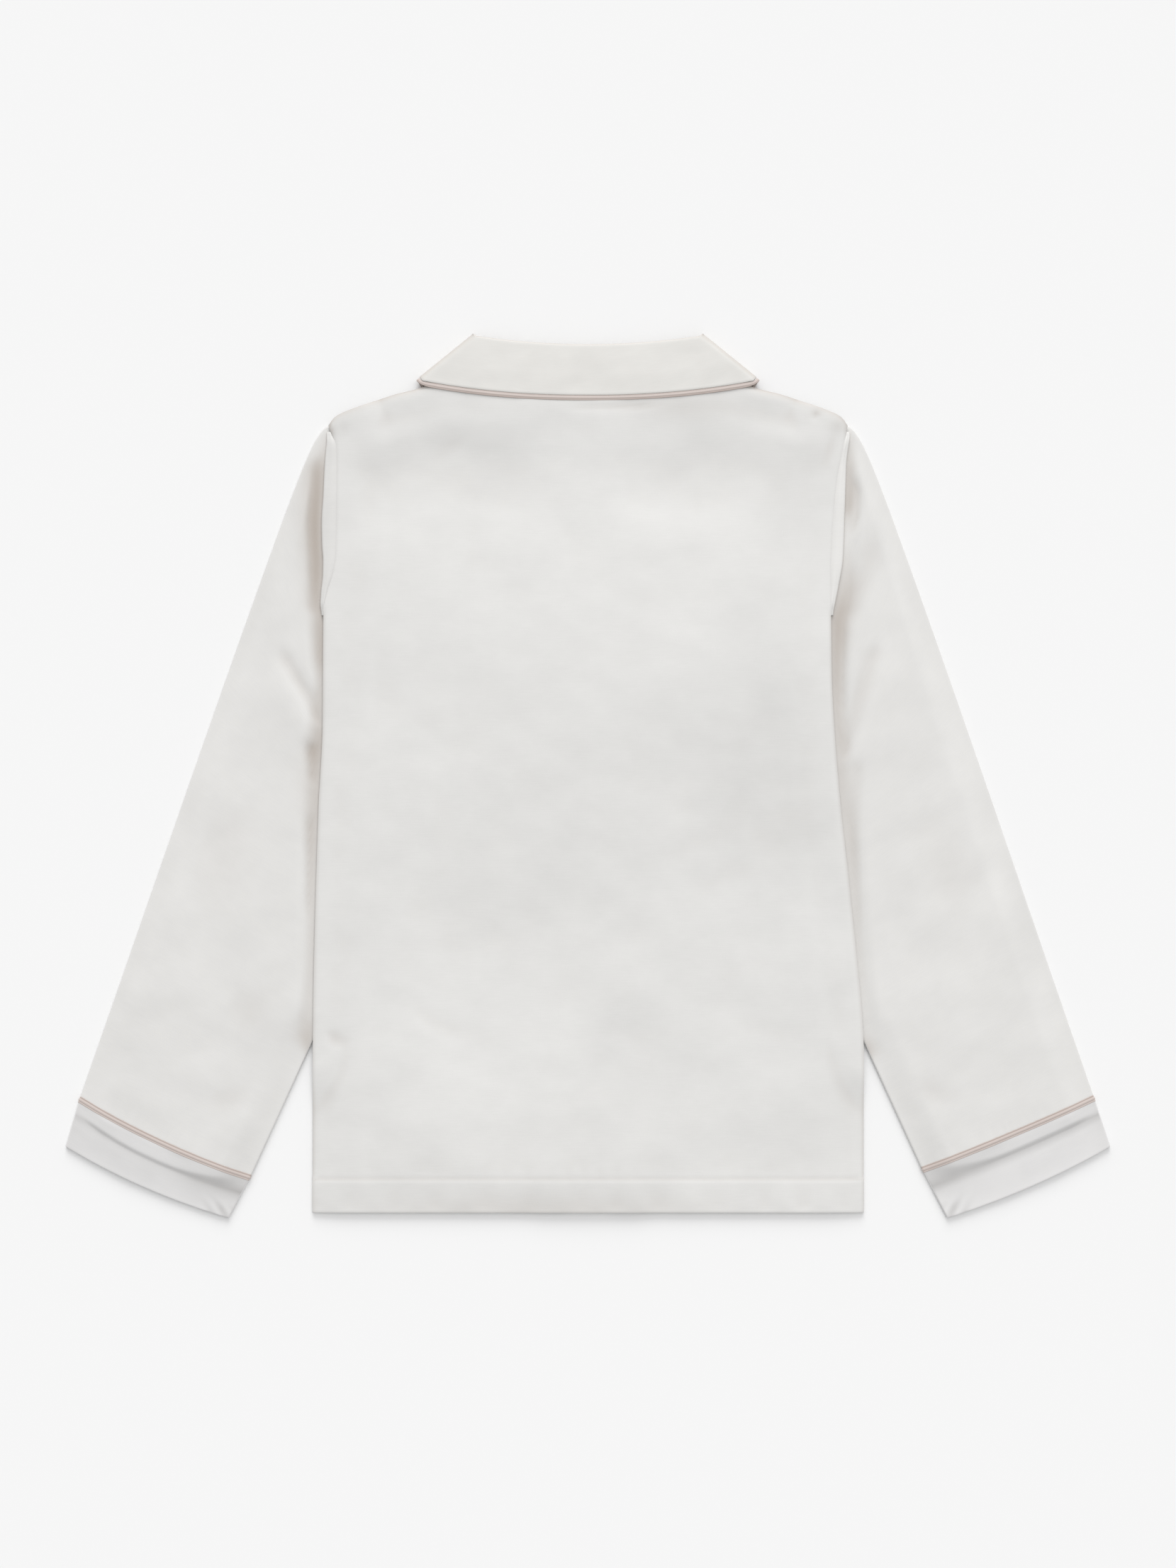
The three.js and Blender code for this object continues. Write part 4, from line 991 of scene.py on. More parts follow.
def turned(section, sides):
    """Points and faces of a solid turned round the Z axis."""
    section = np.array(section, float)
    angle = np.linspace(0, 2 * math.pi, sides, endpoint=False)
    ring = section[1:-1]
    points = np.stack([
        ring[:, None, 0] * np.cos(angle), ring[:, None, 0] * np.sin(angle),
        np.repeat(ring[:, None, 1], sides, 1),
    ], -1)
    number = np.arange(len(ring) * sides).reshape(len(ring), sides)
    a, b = number[:-1], number[1:]
    faces = [np.stack([a, np.roll(a, -1, 1), np.roll(b, -1, 1), b], -1).reshape(-1, 4)]
    points = np.concatenate([points.reshape(-1, 3), [[0, 0, section[0, 1]], [0, 0, section[-1, 1]]]])
    faces += [fan(number[0], len(points) - 2, True), fan(number[-1], len(points) - 1, False)]
    return points, np.concatenate(faces)


def stitch(start, end, radius, arch, stand):
    """One stitch of thread, thick in the middle and sinking into the cloth at its ends."""
    share = np.array([0, 0.12, 0.35, 0.65, 0.88, 1.0])[:, None]
    lift = np.sin(math.pi * share) * arch - radius * 0.4
    path = blend(start, end, share) + stand * lift
    angle = np.linspace(0, 2 * math.pi, 6, endpoint=False)
    size = radius * np.array([0.45, 0.85, 1, 1, 0.85, 0.45])[:, None]
    profile = np.stack([size * np.cos(angle), size * np.sin(angle)], -1)
    points, faces = sweep(path, np.repeat(stand[None], len(path), 0), profile)
    long = float(np.linalg.norm(end - start))
    place = np.zeros((len(points), 3))
    place[:36, 0] = np.repeat(share[:, 0] * long, 6)
    place[:36, 1] = np.tile(angle, 6)
    return points, faces, {"cloth_place": place}


def stitch_line(path, radius, stand):
    """A row of stitches along a path of closely spaced points."""
    step = travelled(path)
    pitch = STITCH_LENGTH + STITCH_GAP
    count = int((step[-1] - STITCH_LENGTH) // pitch) + 1
    parts = []
    for k in range(count):
        ends = [k * pitch, k * pitch + STITCH_LENGTH]
        start, end = (np.array([np.interp(at, step, path[:, axis]) for axis in range(3)]) for at in ends)
        parts.append(stitch(start, end, radius, radius * 0.7, np.array(stand, float)))
    return parts


# Finishes


class Value:
    """One output of a node. Arithmetic on it adds Math nodes."""

    def __init__(self, finish, socket):
        self.finish, self.socket = finish, socket

    def math(self, operation, *values):
        return self.finish.node("ShaderNodeMath", {"operation": operation}, *values)

    def __add__(self, other):
        return self.math("ADD", self, other)

    def __radd__(self, other):
        return self.math("ADD", other, self)

    def __sub__(self, other):
        return self.math("SUBTRACT", self, other)

    def __rsub__(self, other):
        return self.math("SUBTRACT", other, self)

    def __mul__(self, other):
        return self.math("MULTIPLY", self, other)

    def __rmul__(self, other):
        return self.math("MULTIPLY", other, self)

    def clipped(self, low, high):
        return self.math("MAXIMUM", self.math("MINIMUM", self, high), low)


class Finish:
    """The nodes of one material."""

    def __init__(self, name):
        self.material = bpy.data.materials.new(name)
        self.material.use_nodes = True
        self.nodes, self.links = self.material.node_tree.nodes, self.material.node_tree.links
        self.nodes.clear()

    def node(self, kind, settings=None, *values, output=0, **named):
        """One output of a new node. Its settings are set first, then its sockets by order or by name, where
        None leaves a socket as it is."""
        node = self.nodes.new(kind)
        for key, setting in (settings or {}).items():
            setattr(node, key, setting)
        sockets = {key.replace("_", " "): value for key, value in named.items()}
        for key, value in [*enumerate(values), *sockets.items()]:
            socket = node.inputs[key]
            if isinstance(value, Value):
                self.links.new(value.socket, socket)
            elif value is not None:
                socket.default_value = value
        return Value(self, node.outputs[output]) if node.outputs else None

    def mark(self, name, output="Fac"):
        return self.node("ShaderNodeAttribute", {"attribute_name": name}, output=output)

    def place(self, scale, turn=0.0):
        """Place on the cloth in millimetres, scaled on each axis."""
        return self.node(
            "ShaderNodeMapping", {"vector_type": "POINT"}, self.mark("cloth_place", "Vector"),
            Rotation=(0, 0, turn), Scale=scale,
        )

    def noise(self, scale, detail=2.0, rough=0.5, turn=0.0):
        """Noise about zero, from about -0.5 to 0.5."""
        found = self.node(
            "ShaderNodeTexNoise", None, Vector=self.place(scale, turn), Scale=1.0, Detail=detail,
            Roughness=rough,
        )
        return found - 0.5

    def tinted(self, base, other, share):
        """Colour blended between two by a share."""
        settings = {"data_type": "RGBA", "blend_type": "MIX", "clamp_factor": True}
        return self.node("ShaderNodeMix", settings, share, None, None, None, None, None, base, other, output=2)

    def surface(self, **sockets):
        self.node("ShaderNodeOutputMaterial", None, self.node("ShaderNodeBsdfPrincipled", **sockets))
        return self.material


def rgba(colour, gain=1.0):
    return (*(min(channel * gain, 1.0) for channel in colour), 1.0)


def satin(name, colour, shade_colour, roughness=0.42, sheen=0.12):
    """Woven satin: soft clouding, slubs along the weft and a fine weave, with painted light and shade in broad
    lighter and darker places, and warmer, darker painted shade in folds, creases and gaps.
    """
    finish = Finish(name)
    cloud = finish.noise((0.024, 0.034, 0.03), 3.0, 0.6)
    slub = finish.noise((0.09, 1.3, 0.1), 3.0, 0.6)
    thread = finish.noise((2.6, 0.25, 0.3), 2.0)
    speck = finish.noise((1.9, 1.9, 1.9), 2.0)
    # Painted shade: this mark mixes the satin towards the warmer, darker shade colour in folds, creases, gaps and
    # grooves
    shade = (finish.mark("fold_depth") * 0.8).clipped(0.0, 1.0)
    # Random clouding, slubs, specks and threads vary the satin's own colour; the last mark adds painted light and
    # painted shade from the tables of lighter and darker places
    tone = 0.5 + cloud * 0.9 + slub * 0.34 + speck * 0.24 + thread * 0.14 + finish.mark("cloth_tone") * 0.45
    tone = tone.clipped(0.0, 1.0)
    cloth = finish.tinted(rgba(colour, 0.91), rgba(colour, 1.07), tone)
    cloth = finish.tinted(cloth, rgba(shade_colour), shade)
    weave = slub * 0.55 + thread * 0.4 + speck * 0.6
    bump = finish.node("ShaderNodeBump", None, Strength=0.3, Distance=0.00009, Height=weave)
    rough = roughness + slub * 0.12 + cloud * 0.1
    return finish.surface(
        Base_Color=cloth, Roughness=rough, Normal=bump, Sheen_Weight=sheen, Sheen_Roughness=0.45,
        Specular_IOR_Level=0.42,
    )


def piping_satin(name, colour, groove_shade):
    """Satin cut on the bias round a cord: slanting threads, with painted shade in the two stitched grooves."""
    finish = Finish(name)
    slant = finish.noise((2.4, 0.5, 1.0), 2.0, 0.5, 0.8)
    cloud = finish.noise((0.06, 0.1, 0.1), 2.0)
    # Painted shade in the grooves beside the cord, with a little of the slanting threads' own variation
    shade = (finish.mark("fold_depth") * 0.95 + slant * 0.1).clipped(0.0, 1.0)
    tone = (0.5 + slant * 0.5 + cloud * 0.5).clipped(0.0, 1.0)
    cloth = finish.tinted(rgba(colour, 0.93), rgba(colour, 1.06), tone)
    cloth = finish.tinted(cloth, rgba(groove_shade), shade)
    bump = finish.node("ShaderNodeBump", None, Strength=0.35, Distance=0.00012, Height=slant)
    return finish.surface(
        Base_Color=cloth, Roughness=0.5 + slant * 0.1, Normal=bump, Sheen_Weight=0.1, Sheen_Roughness=0.45,
    )


def spun_thread(name, colour):
    """Twisted sewing thread."""
    finish = Finish(name)
    twist = finish.node(
        "ShaderNodeTexWave", {"wave_type": "BANDS", "bands_direction": "DIAGONAL"},
        finish.place((2.4, 0.5, 1.0)), Scale=1.0,
    )
    cloth = finish.tinted(rgba(colour, 0.86), rgba(colour, 1.03), twist)
    bump = finish.node("ShaderNodeBump", None, Strength=0.4, Distance=0.00006, Height=twist)
    return finish.surface(Base_Color=cloth, Roughness=0.5, Normal=bump)


def pearly(name, colour):
    """Polished ivory shell with faint clouding."""
    finish = Finish(name)
    cloud = finish.node(
        "ShaderNodeTexNoise", None, finish.node("ShaderNodeTexCoord", output="Object"),
        Scale=260.0, Detail=3.0, Distortion=1.6,
    )
    cloth = finish.tinted(rgba(colour, 0.9), rgba((0.97, 0.92, 0.9)), (cloud * 1.4 - 0.2).clipped(0.0, 1.0))
    return finish.surface(Base_Color=cloth, Roughness=0.16 + cloud * 0.1, Coat_Weight=0.5, Coat_Roughness=0.06)


def plain(name, colour, roughness=0.9):
    return Finish(name).surface(Base_Color=rgba(colour), Roughness=roughness, Specular_IOR_Level=0.1)


# Pieces


def hollows(level, spread=26):
    """How far each place of a grid of heights lies below the cloth around it, in millimetres."""
    soft = level.copy()
    for _ in range(spread):
        padded = np.pad(soft, 1, mode="edge")
        soft = (padded[:-2, 1:-1] + padded[2:, 1:-1] + padded[1:-1, :-2] + padded[1:-1, 2:] + 4 * soft) / 8
    return np.clip(soft - level, -0.3, 1.5)


def dress(piece, node, material):
    """Puts the piece in place of the solid's node and gives it its material."""
    piece.data.materials.append(material)
    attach(piece, "root")
    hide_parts(node)
    return piece


def sew(name, parts, thread):
    """Adds sewing, which no solid stands for."""
    piece = joined(name, parts)
    piece.data.materials.append(thread)
    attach(piece, "root")


def build_back(cloth, material):
    x, y = panel_plan(np.linspace(-SHOULDER_X, SHOULDER_X, 171), panel_rises(22, 226), back_top)
    middle, thick = back_surface(x, y, cloth)
    # Painted shade in the back's hollows, along the hem's groove and at the listed shaded places, and along the
    # shoulder edges where their rounding faces the slanting light
    shade = np.maximum(0.5 * hollows(middle), 0.25 * hem_groove(y)) + swells(x, y, BACK_SHADES)
    shade = shade + 0.3 * fade(shoulder_y(x) - y, 0.5, 4) * smooth(np.abs(x), NECK_X, NECK_X + 12)
    # Painted light and painted shade from the back's table
    tone = swells(x, y, BACK_PAINTED_LIGHT_AND_SHADE)
    part = wall_part(np.stack([x, y, middle], -1), thick, np.stack([x, y], -1), shade, tone)
    piece = dress(joined("back_panel", [part]), "back", material)


def front_middle(side, x, y, thick):
    """Middle of a front's cloth."""
    lift = front_lift(x, y)
    if side == "left":
        lift = lift + LAYER * fade(np.abs(np.minimum(x, 0)), *LAP_FADE)
    ends = smooth(y, HEM_Y, HEM_Y + 40) * smooth(edge_distance(x, y), 4, 40)
    soft = ripples(x, y, 13, 34, 0.1) * ends * smooth(lift, 0.5, 2.0)
    return blend(seam_height(x, y) - thick / 2, lift + soft + thick / 2, edge_rounding(x, y))


def build_front(side, cloth, material):
    ends = (-SHOULDER_X, OVERLAP) if side == "left" else (-OVERLAP, SHOULDER_X)
    places = np.linspace(*ends, 92)
    x, y = panel_plan(places, panel_rises(18, 168), front_top)
    thick = cloth_thickness(y, cloth)
    middle = front_middle(side, x, y, thick)
    # Painted shade in the front's hollows and along its hem's groove
    shade = np.maximum(hollows(middle, spread=14), 0.5 * hem_groove(y))
    part = wall_part(np.stack([x, y, middle], -1), thick, np.stack([x, y], -1), shade)
    piece = dress(joined(f"front_{side}_panel", [part]), f"front_{side}", material)


def seam_distance(side, x, y):
    """Distance in plan from the seam above the cuff, in half widths."""
    (ax, ay), (bx, by) = CUFF_SEAM[side]
    along_x, along_y = bx - ax, by - ay
    return np.abs((x - ax) * along_y - (y - ay) * along_x) / math.hypot(along_x, along_y)


def seam_rise(share):
    """Rise of the cloth at the seam above the cuff."""
    return 2.6 + 0.2 * np.sin(7 * share) + 0.08 * np.sin(19 * share + 1)


def build_sleeve(side, cloth, depth, material):
    def rise(x, y, share):
        near = fade(seam_distance(side, x, y), 3, 18)
        puckers = 0.07 * np.sin(share * 95 + 5 * np.sin(share * 11)) * fade(seam_distance(side, x, y), 3, 14)
        return blend(sleeve_rise(side, x, y, depth), seam_rise(share), near) + puckers

    inner, outer = sleeve_rows(side)
    middle = (inner + outer) / 2
    bow = CUFF_BOW[side][0] * fade(seam_distance(side, middle[:, 0], middle[:, 1]), 0, 70)
    grid, place, upper = tube_grid(inner, outer, rise, cloth, bow)
    x, y = grid[..., 0], grid[..., 1]
    outside = np.maximum(x - body_edge(side, y), 0)
    share, width = (eased([(row[0], row[k]) for row in GAP_SHADE[side]], y) for k in (1, 2))
    # Painted shade in the sleeve's hollows, along its creases and in the gap beside the body
    folds = np.maximum(-creases(x, y, SLEEVE_CREASES[side]), 0) * smooth(outside, 0, 4)
    gap = share * np.exp(-((outside / width / 0.8 - 0.4) ** 2))
    shade = 0.25 * hollows(grid[..., 2], 12) + 0.12 * folds + 0.8 * gap
    # Painted light and painted shade on the upper cloth
    tone = swells(x, y, SLEEVE_PAINTED_LIGHT_AND_SHADE[side]) * upper
    parts = [wall_part(mirrored(grid, side), cloth, place, shade * upper, tone, closed=True)]
    roll, place = roll_grid(side, cloth)
    # Painted shade on the roll's turned-down edge, and painted light and shade all along the roll
    side_shade = np.zeros(roll.shape[:2])
    side_shade[:, -5:] = 0.5
    tone = np.full(roll.shape[:2], ROLL_PAINTED_LIGHT_AND_SHADE[side])
    parts.append(wall_part(mirrored(roll, side), cloth, place, side_shade, tone))
    piece = dress(joined(f"sleeve_{side}_cloth", parts), f"sleeve_{side}", material)


def build_cuff(side, cloth, material):
    inner, outer = cuff_rows(side)
    along = np.linspace(0, 1, len(inner))[:, None]

    def rise(x, y, share):
        return blend(seam_rise(share), cuff_rise(side, along, share), smooth(along, 0.0, 0.12))

    bow = blend(*CUFF_BOW[side], along[:, 0])
    grid, place, upper = tube_grid(inner, outer, rise, cloth, bow, CUFF_COLUMNS)
    reach = np.linalg.norm(outer - inner, axis=1)[:, None]
    share = np.linalg.norm(grid[..., :2] - inner[:, None], axis=2) / reach
    # Painted shade at the crease, the ends and the corner puckers; painted shade on the band above the crease and
    # painted light below it
    shade = cuff_shade(side, along, share) * upper
    tone = blend(CUFF_BAND_PAINTED_SHADE, CUFF_PAINTED_LIGHT[side], smooth(along, 0.34, 0.5)) * upper
    part = wall_part(mirrored(grid, side), cloth, place, shade, tone, closed=True)
    piece = dress(joined(f"cuff_{side}_cloth", [part]), f"cuff_{side}", material)


def build_collar(cloth, material):
    grid, place, on_back, turning = collar_grid()
    # Painted shade in the collar's hollows on the back, and along its turning rims where they face the slanting
    # light
    part = wall_part(grid, cloth, place, hollows(grid[..., 2], 4) * on_back + 0.62 * turning)
    piece = dress(joined("collar_cloth", [part]), "collar", material)


def build_button(name, node, y, pearl, thread):
    """A button face down under the front, with four holes cut through and thread across them."""
    points, faces = turned(BUTTON_SECTION, 64)
    button = joined(name, [(points + np.array([0, y, 0]), faces, {})])
    cutters = []
    for hole_x, hole_y in BUTTON_HOLES:
        bpy.ops.mesh.primitive_cylinder_add(
            vertices=24, radius=HOLE_RADIUS * MM, depth=6 * MM, location=(hole_x * MM, (y + hole_y) * MM, MM),
        )
        cutters.append(bpy.context.object)
    for cutter in cutters:
        cut = button.modifiers.new("hole", "BOOLEAN")
        cut.operation, cut.solver, cut.object = "DIFFERENCE", "EXACT", cutter
    depsgraph = bpy.context.evaluated_depsgraph_get()
    mesh = bpy.data.meshes.new_from_object(button.evaluated_get(depsgraph))
    button.modifiers.clear()
    button.data = mesh
    for cutter in cutters:
        bpy.data.objects.remove(cutter, do_unlink=True)
    mesh.shade_smooth()
    mesh.set_sharp_from_angle(angle=math.radians(35))
    dress(button, node, pearl)

    parts = []
    down = np.array([0.0, 0, -1])
    for k in range(6):
        shift = 0.22 * (k % 3 - 1)
        for row in (HOLE_OFFSET, -HOLE_OFFSET):
            here = row + shift + 0.05 * (k // 3)
            ends = [np.array([sign * 1.45, y + here, 0.42]) for sign in (-1.0, 1.0)]
            parts.append(stitch(*ends, HEM_THREAD, 0.1, down))
    for hole_x, hole_y in BUTTON_HOLES:
        path = np.array([[hole_x * share, y + hole_y * share, height] for share, height in SHANK])
        angle = np.linspace(0, 2 * math.pi, 12, endpoint=False)
        profile = SHANK_RADIUS * np.stack([np.cos(angle), np.sin(angle)], -1)
        points, faces = sweep(path, np.repeat([[0.0, 1.0, 0.0]], len(path), 0), profile)
        parts.append((points, faces, {"cloth_place": points}))
    sew(f"{name}_thread", parts, thread)


def hem_path(middle_of, low, high, offset):
    """Points along the hem's stitching line, on the outer face of a panel."""
    x = np.linspace(low, high, 700)
    y = np.full_like(x, STITCH_Y)
    return np.stack([x, y, middle_of(x, y) + offset], -1)


def stitch_back_hem(cloth, thread):
    """Stitching of the back's hem."""
    def outer(x, y):
        middle, thick = back_surface(x, y, cloth)
        return middle + thick / 2

    reach = float(side_x(1.0, STITCH_Y)) - 1.5
    parts = stitch_line(hem_path(outer, -reach, reach, STITCH_CLEAR), HEM_THREAD, (0.0, 0.0, 1.0))
    sew("back_hem_stitching", parts, thread)


def stitch_fronts(cloth, thread):
    """Stitching of both fronts' hems and along the front edge that has the buttonholes."""
    parts = []
    for side, low, high in (("left", -172.0, OVERLAP - 1), ("right", -OVERLAP + 1, 172.0)):
        def outer(x, y, side=side):
            thick = cloth_thickness(y, cloth)
            return front_middle(side, x, y, thick) - thick / 2

        parts += stitch_line(hem_path(outer, low, high, -STITCH_CLEAR), HEM_THREAD, (0.0, 0.0, -1.0))
    y = np.linspace(HEM_Y + 4, FRONT_NECK_Y - 8, 1200)
    for at_x in (-OVERLAP + 2.0, -OVERLAP + 27.0):
        x = np.full_like(y, at_x)
        thick = cloth_thickness(y, cloth)
        height = front_middle("right", x, y, thick) - thick / 2 - STITCH_CLEAR
        parts += stitch_line(np.stack([x, y, height], -1), EDGE_THREAD, (0.0, 0.0, -1.0))
    sew("front_stitching", parts, thread)


def stitch_buttonholes(cloth, thread):
    """A worked buttonhole round each button's shank, on the front that lies lower."""
    parts = []
    down = np.array([0.0, 0.0, -1.0])
    last = BUTTONHOLE_STITCHES - 1
    for at_y in BUTTON_YS:
        for k in range(BUTTONHOLE_STITCHES):
            y = at_y + blend(-BUTTONHOLE_HALF, BUTTONHOLE_HALF, k / last)
            reach = 1.75 if 0 < k < last else 1.1
            thick = cloth_thickness(np.array([y]), cloth)
            level = float((front_middle("right", np.array([0.0]), np.array([y]), thick) - thick / 2)[0])
            for sign in (-1.0, 1.0):
                ends = [np.array([sign * across, y, level]) for across in (0.15, reach)]
                parts.append(stitch(*ends, HOLE_THREAD, 0.16, down))
    sew("buttonholes", parts, thread)


# Settings


def colour(name, text, default):
    return bpy.props.FloatVectorProperty(
        name=name, description=text, subtype="COLOR", size=3, min=0.0, max=1.0, default=default,
    )


def length(name, text, default, low, high):
    return bpy.props.FloatProperty(
        name=name, description=text, default=default, min=low, max=high, unit="LENGTH", precision=4,
    )


class JacketCloth(bpy.types.PropertyGroup):
    """Thickness and colours of the satin."""

    thickness: length("Cloth thickness", "Thickness of single satin", 0.0007, 0.0003, 0.0012)
    collar_thickness: length("Collar thickness", "Thickness of the doubled collar", 0.0010, 0.0006, 0.0014)
    crease_depth: bpy.props.FloatProperty(
        name="Crease depth", description="How deep the sleeves' creases are, as a share", default=1.0,
        min=0.0, max=1.4,
    )
    body: colour("Body", "Satin of the back and the fronts", (0.742, 0.735, 0.719))
    sleeve: colour("Sleeves", "Satin of the sleeves", (0.742, 0.733, 0.716))
    # The cuffs' satin is the body's satin a little darker and cooler, which paints shade on them
    cuff: colour("Cuffs", "Satin of the cuffs", (0.730, 0.722, 0.718))
    collar: colour("Collar", "Satin of the collar", (0.758, 0.745, 0.716))
    # Colours of the painted shade in the satin's folds, creases and gaps, and in the cuffs' creases
    shade_colour: colour("Hollows", "Satin in the depth of a fold", (0.40, 0.34, 0.29))
    cuff_hollow: colour("Cuff creases", "Satin in the depth of a cuff's crease", (0.36, 0.35, 0.34))


class JacketTrim(bpy.types.PropertyGroup):
    """Colours of the piping, the buttons and the thread."""

    piping: colour("Piping", "Satin round the cord", (0.585, 0.51, 0.475))
    # Colour of the painted shade in the stitched grooves beside the cord
    groove_shade: colour("Piping groove", "Satin in the stitched grooves beside the cord", (0.47, 0.395, 0.36))
    button: colour("Buttons", "Ivory shell", (0.84, 0.80, 0.74))
    thread: colour("Thread", "Sewing thread", (0.74, 0.72, 0.70))


class JacketStage(bpy.types.PropertyGroup):
    """Floor, light and camera."""

    floor: colour("Floor", "Plain floor under the jacket", (0.90, 0.90, 0.90))
    sky: bpy.props.FloatProperty(
        name="Even light", description="Strength of the even light from all round", default=0.578,
        min=0.0, max=4.0,
    )
    sun: bpy.props.FloatProperty(
        name="Slanting light", description="Strength of the light that slants from the collar", default=1.67,
        min=0.0, max=10.0,
    )
    sun_height: bpy.props.FloatProperty(
        name="Light height", description="Angle of the slanting light above the floor", subtype="ANGLE",
        default=math.radians(28), min=math.radians(5), max=math.radians(90),
    )
    camera_height: length("Camera height", "Height of the camera above the floor", 2.353, 0.5, 10.0)


# Operators


def satin_of(kind):
    """The satin of one part of the jacket, made once."""
    cloth = bpy.context.scene.jacket_cloth
    name = f"satin_{kind}"
    shade_colour = cloth.cuff_hollow if kind == "cuff" else cloth.shade_colour
    return bpy.data.materials.get(name) or satin(name, tuple(getattr(cloth, kind)), tuple(shade_colour))


def sewing_thread():
    return bpy.data.materials.get("sewing_thread") or spun_thread(
        "sewing_thread", tuple(bpy.context.scene.jacket_trim.thread)
    )


def cloth_mm():
    return bpy.context.scene.jacket_cloth.thickness / MM


class JACKET_OT_body(bpy.types.Operator):
    """Add the back and the two fronts"""

    bl_idname = "jacket.body"
    bl_label = "Body"

    def execute(self, context):
        for side in ("left", "right"):
            build_front(side, cloth_mm(), satin_of("body"))
        build_back(cloth_mm(), satin_of("body"))
        return {"FINISHED"}


class JACKET_OT_sleeves(bpy.types.Operator):
    """Add the two sleeves with the roll of cloth along their armholes"""

    bl_idname = "jacket.sleeves"
    bl_label = "Sleeves"

    def execute(self, context):
        for side in ("left", "right"):
            build_sleeve(side, cloth_mm(), context.scene.jacket_cloth.crease_depth, satin_of("sleeve"))
        return {"FINISHED"}


class JACKET_OT_cuffs(bpy.types.Operator):
    """Add the two turn-back cuffs"""

    bl_idname = "jacket.cuffs"
    bl_label = "Cuffs"

    def execute(self, context):
        for side in ("left", "right"):
            build_cuff(side, cloth_mm(), satin_of("cuff"))
        return {"FINISHED"}


class JACKET_OT_collar(bpy.types.Operator):
    """Add the turn-down collar"""

    bl_idname = "jacket.collar"
    bl_label = "Collar"

    def execute(self, context):
        build_collar(context.scene.jacket_cloth.collar_thickness / MM, satin_of("collar"))
        return {"FINISHED"}


class JACKET_OT_piping(bpy.types.Operator):
    """Add the piping above both cuffs and round the collar"""

    bl_idname = "jacket.piping"
    bl_label = "Piping"

    def execute(self, context):
        trim, cloth = context.scene.jacket_trim, context.scene.jacket_cloth
        material = piping_satin("satin_piping", tuple(trim.piping), tuple(trim.groove_shade))
        for side in ("left", "right"):
            part = bead(*cuff_piping_path(side, cloth_mm()), closed=True, upper=UPPER_CUFF * signed(side))
            dress(joined(f"cuff_{side}_piping", [part]), f"cuff_piping_{side}", material)
        part = bead(*collar_piping_path(cloth.collar_thickness / MM), closed=False, upper=UPPER_COLLAR)
        dress(joined("collar_edge_piping", [part]), "collar_piping", material)
        return {"FINISHED"}


class JACKET_OT_buttons(bpy.types.Operator):
    """Add the buttons under the fronts"""

    bl_idname = "jacket.buttons"
    bl_label = "Buttons"

    def execute(self, context):
        pearl = pearly("ivory_button", tuple(context.scene.jacket_trim.button))
        for number, y in enumerate(BUTTON_YS, 1):
            build_button(f"button_{number}_shell", f"button_{number}", y, pearl, sewing_thread())
        return {"FINISHED"}


class JACKET_OT_stitching(bpy.types.Operator):
    """Add the stitching of the hem and the front edge, and the buttonholes"""

    bl_idname = "jacket.stitching"
    bl_label = "Stitching"

    def execute(self, context):
        stitch_back_hem(cloth_mm(), sewing_thread())
        stitch_fronts(cloth_mm(), sewing_thread())
        stitch_buttonholes(cloth_mm(), sewing_thread())
        return {"FINISHED"}


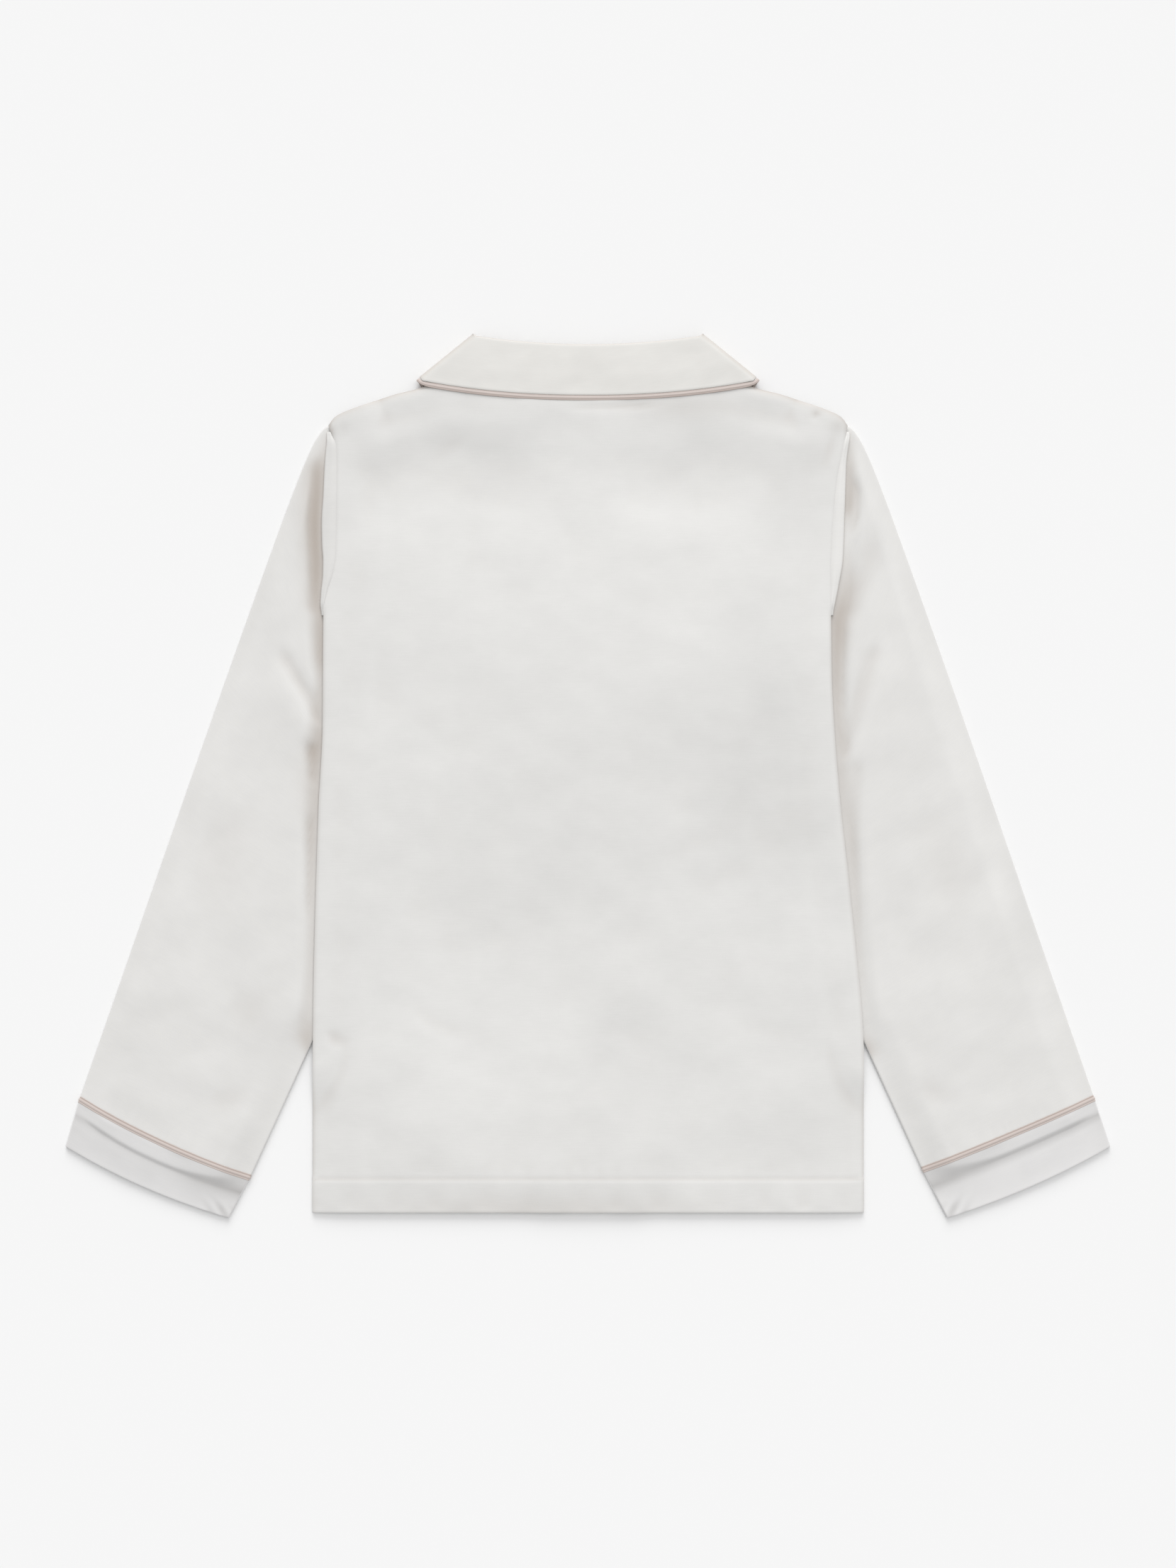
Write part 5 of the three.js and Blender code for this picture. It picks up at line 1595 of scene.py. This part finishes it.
class JACKET_OT_stage(bpy.types.Operator):
    """Add the floor, the light and the camera"""

    bl_idname = "jacket.stage"
    bl_label = "Stage"

    def execute(self, context):
        stage = context.scene.jacket_stage
        bpy.ops.mesh.primitive_plane_add(size=FLOOR_SIZE, location=(0, 0, FLOOR_Z))
        floor = context.object
        floor.name = "floor"
        floor.data.materials.append(plain("floor_paper", tuple(stage.floor)))
        world = context.scene.world or bpy.data.worlds.new("even_light")
        context.scene.world = world
        world.use_nodes = True
        sky = world.node_tree.nodes["Background"]
        sky.inputs["Color"].default_value = (1.0, 1.0, 1.0, 1.0)
        sky.inputs["Strength"].default_value = stage.sky
        lights = (
            ("slanting_light", stage.sun, SLANTING_SPREAD, (stage.sun_height - math.pi / 2, 0.0, 0.0)),
            ("high_light", HIGH_LIGHT, HIGH_SPREAD, (*(math.radians(tilt) for tilt in HIGH_TILTS), 0.0)),
        )
        for name, energy, spread, turn in lights:
            light = bpy.data.lights.new(name, "SUN")
            light.energy, light.angle = energy, math.radians(spread)
            sun = bpy.data.objects.new(name, light)
            sun.rotation_euler = turn
            sun.location = (0, 0, 1.5)
            context.scene.collection.objects.link(sun)
        camera = bpy.data.cameras.new("photo_camera")
        camera.lens, camera.sensor_width, camera.clip_start = CAMERA_LENS, 36.0, 0.05
        eye = bpy.data.objects.new("photo_camera", camera)
        eye.location = (0.0, CAMERA_Y, stage.camera_height)
        context.scene.collection.objects.link(eye)
        context.scene.camera = eye
        context.scene.view_settings.view_transform = "Standard"
        context.scene.view_settings.look = "None"
        return {"FINISHED"}


STEPS = (
    JACKET_OT_body, JACKET_OT_sleeves, JACKET_OT_cuffs, JACKET_OT_collar, JACKET_OT_piping, JACKET_OT_buttons,
    JACKET_OT_stitching, JACKET_OT_stage,
)


class JACKET_PT_pieces(bpy.types.Panel):
    """Sizes, colours and pieces of the jacket"""

    bl_idname = "JACKET_PT_pieces"
    bl_label = "Pyjama jacket"
    bl_space_type = "VIEW_3D"
    bl_region_type = "UI"
    bl_category = "Jacket"

    def draw(self, context):
        for label, group in (("Cloth", "jacket_cloth"), ("Trim", "jacket_trim"), ("Stage", "jacket_stage")):
            box = self.layout.box()
            box.label(text=label)
            settings = getattr(context.scene, group)
            for key in settings.__annotations__:
                box.prop(settings, key)
        column = self.layout.column(align=True)
        for step in STEPS:
            column.operator(step.bl_idname)


GROUPS = (("jacket_cloth", JacketCloth), ("jacket_trim", JacketTrim), ("jacket_stage", JacketStage))


def register():
    for name, group in GROUPS:
        bpy.utils.register_class(group)
        setattr(bpy.types.Scene, name, bpy.props.PointerProperty(type=group))
    for kind in (*STEPS, JACKET_PT_pieces):
        bpy.utils.register_class(kind)


def unregister():
    for kind in (JACKET_PT_pieces, *reversed(STEPS)):
        bpy.utils.unregister_class(kind)
    for name, group in reversed(GROUPS):
        delattr(bpy.types.Scene, name)
        bpy.utils.unregister_class(group)


def main():
    register()
    for step in STEPS:
        family, name = step.bl_idname.split(".")
        getattr(getattr(bpy.ops, family), name)()


if __name__ == "__main__":
    main()
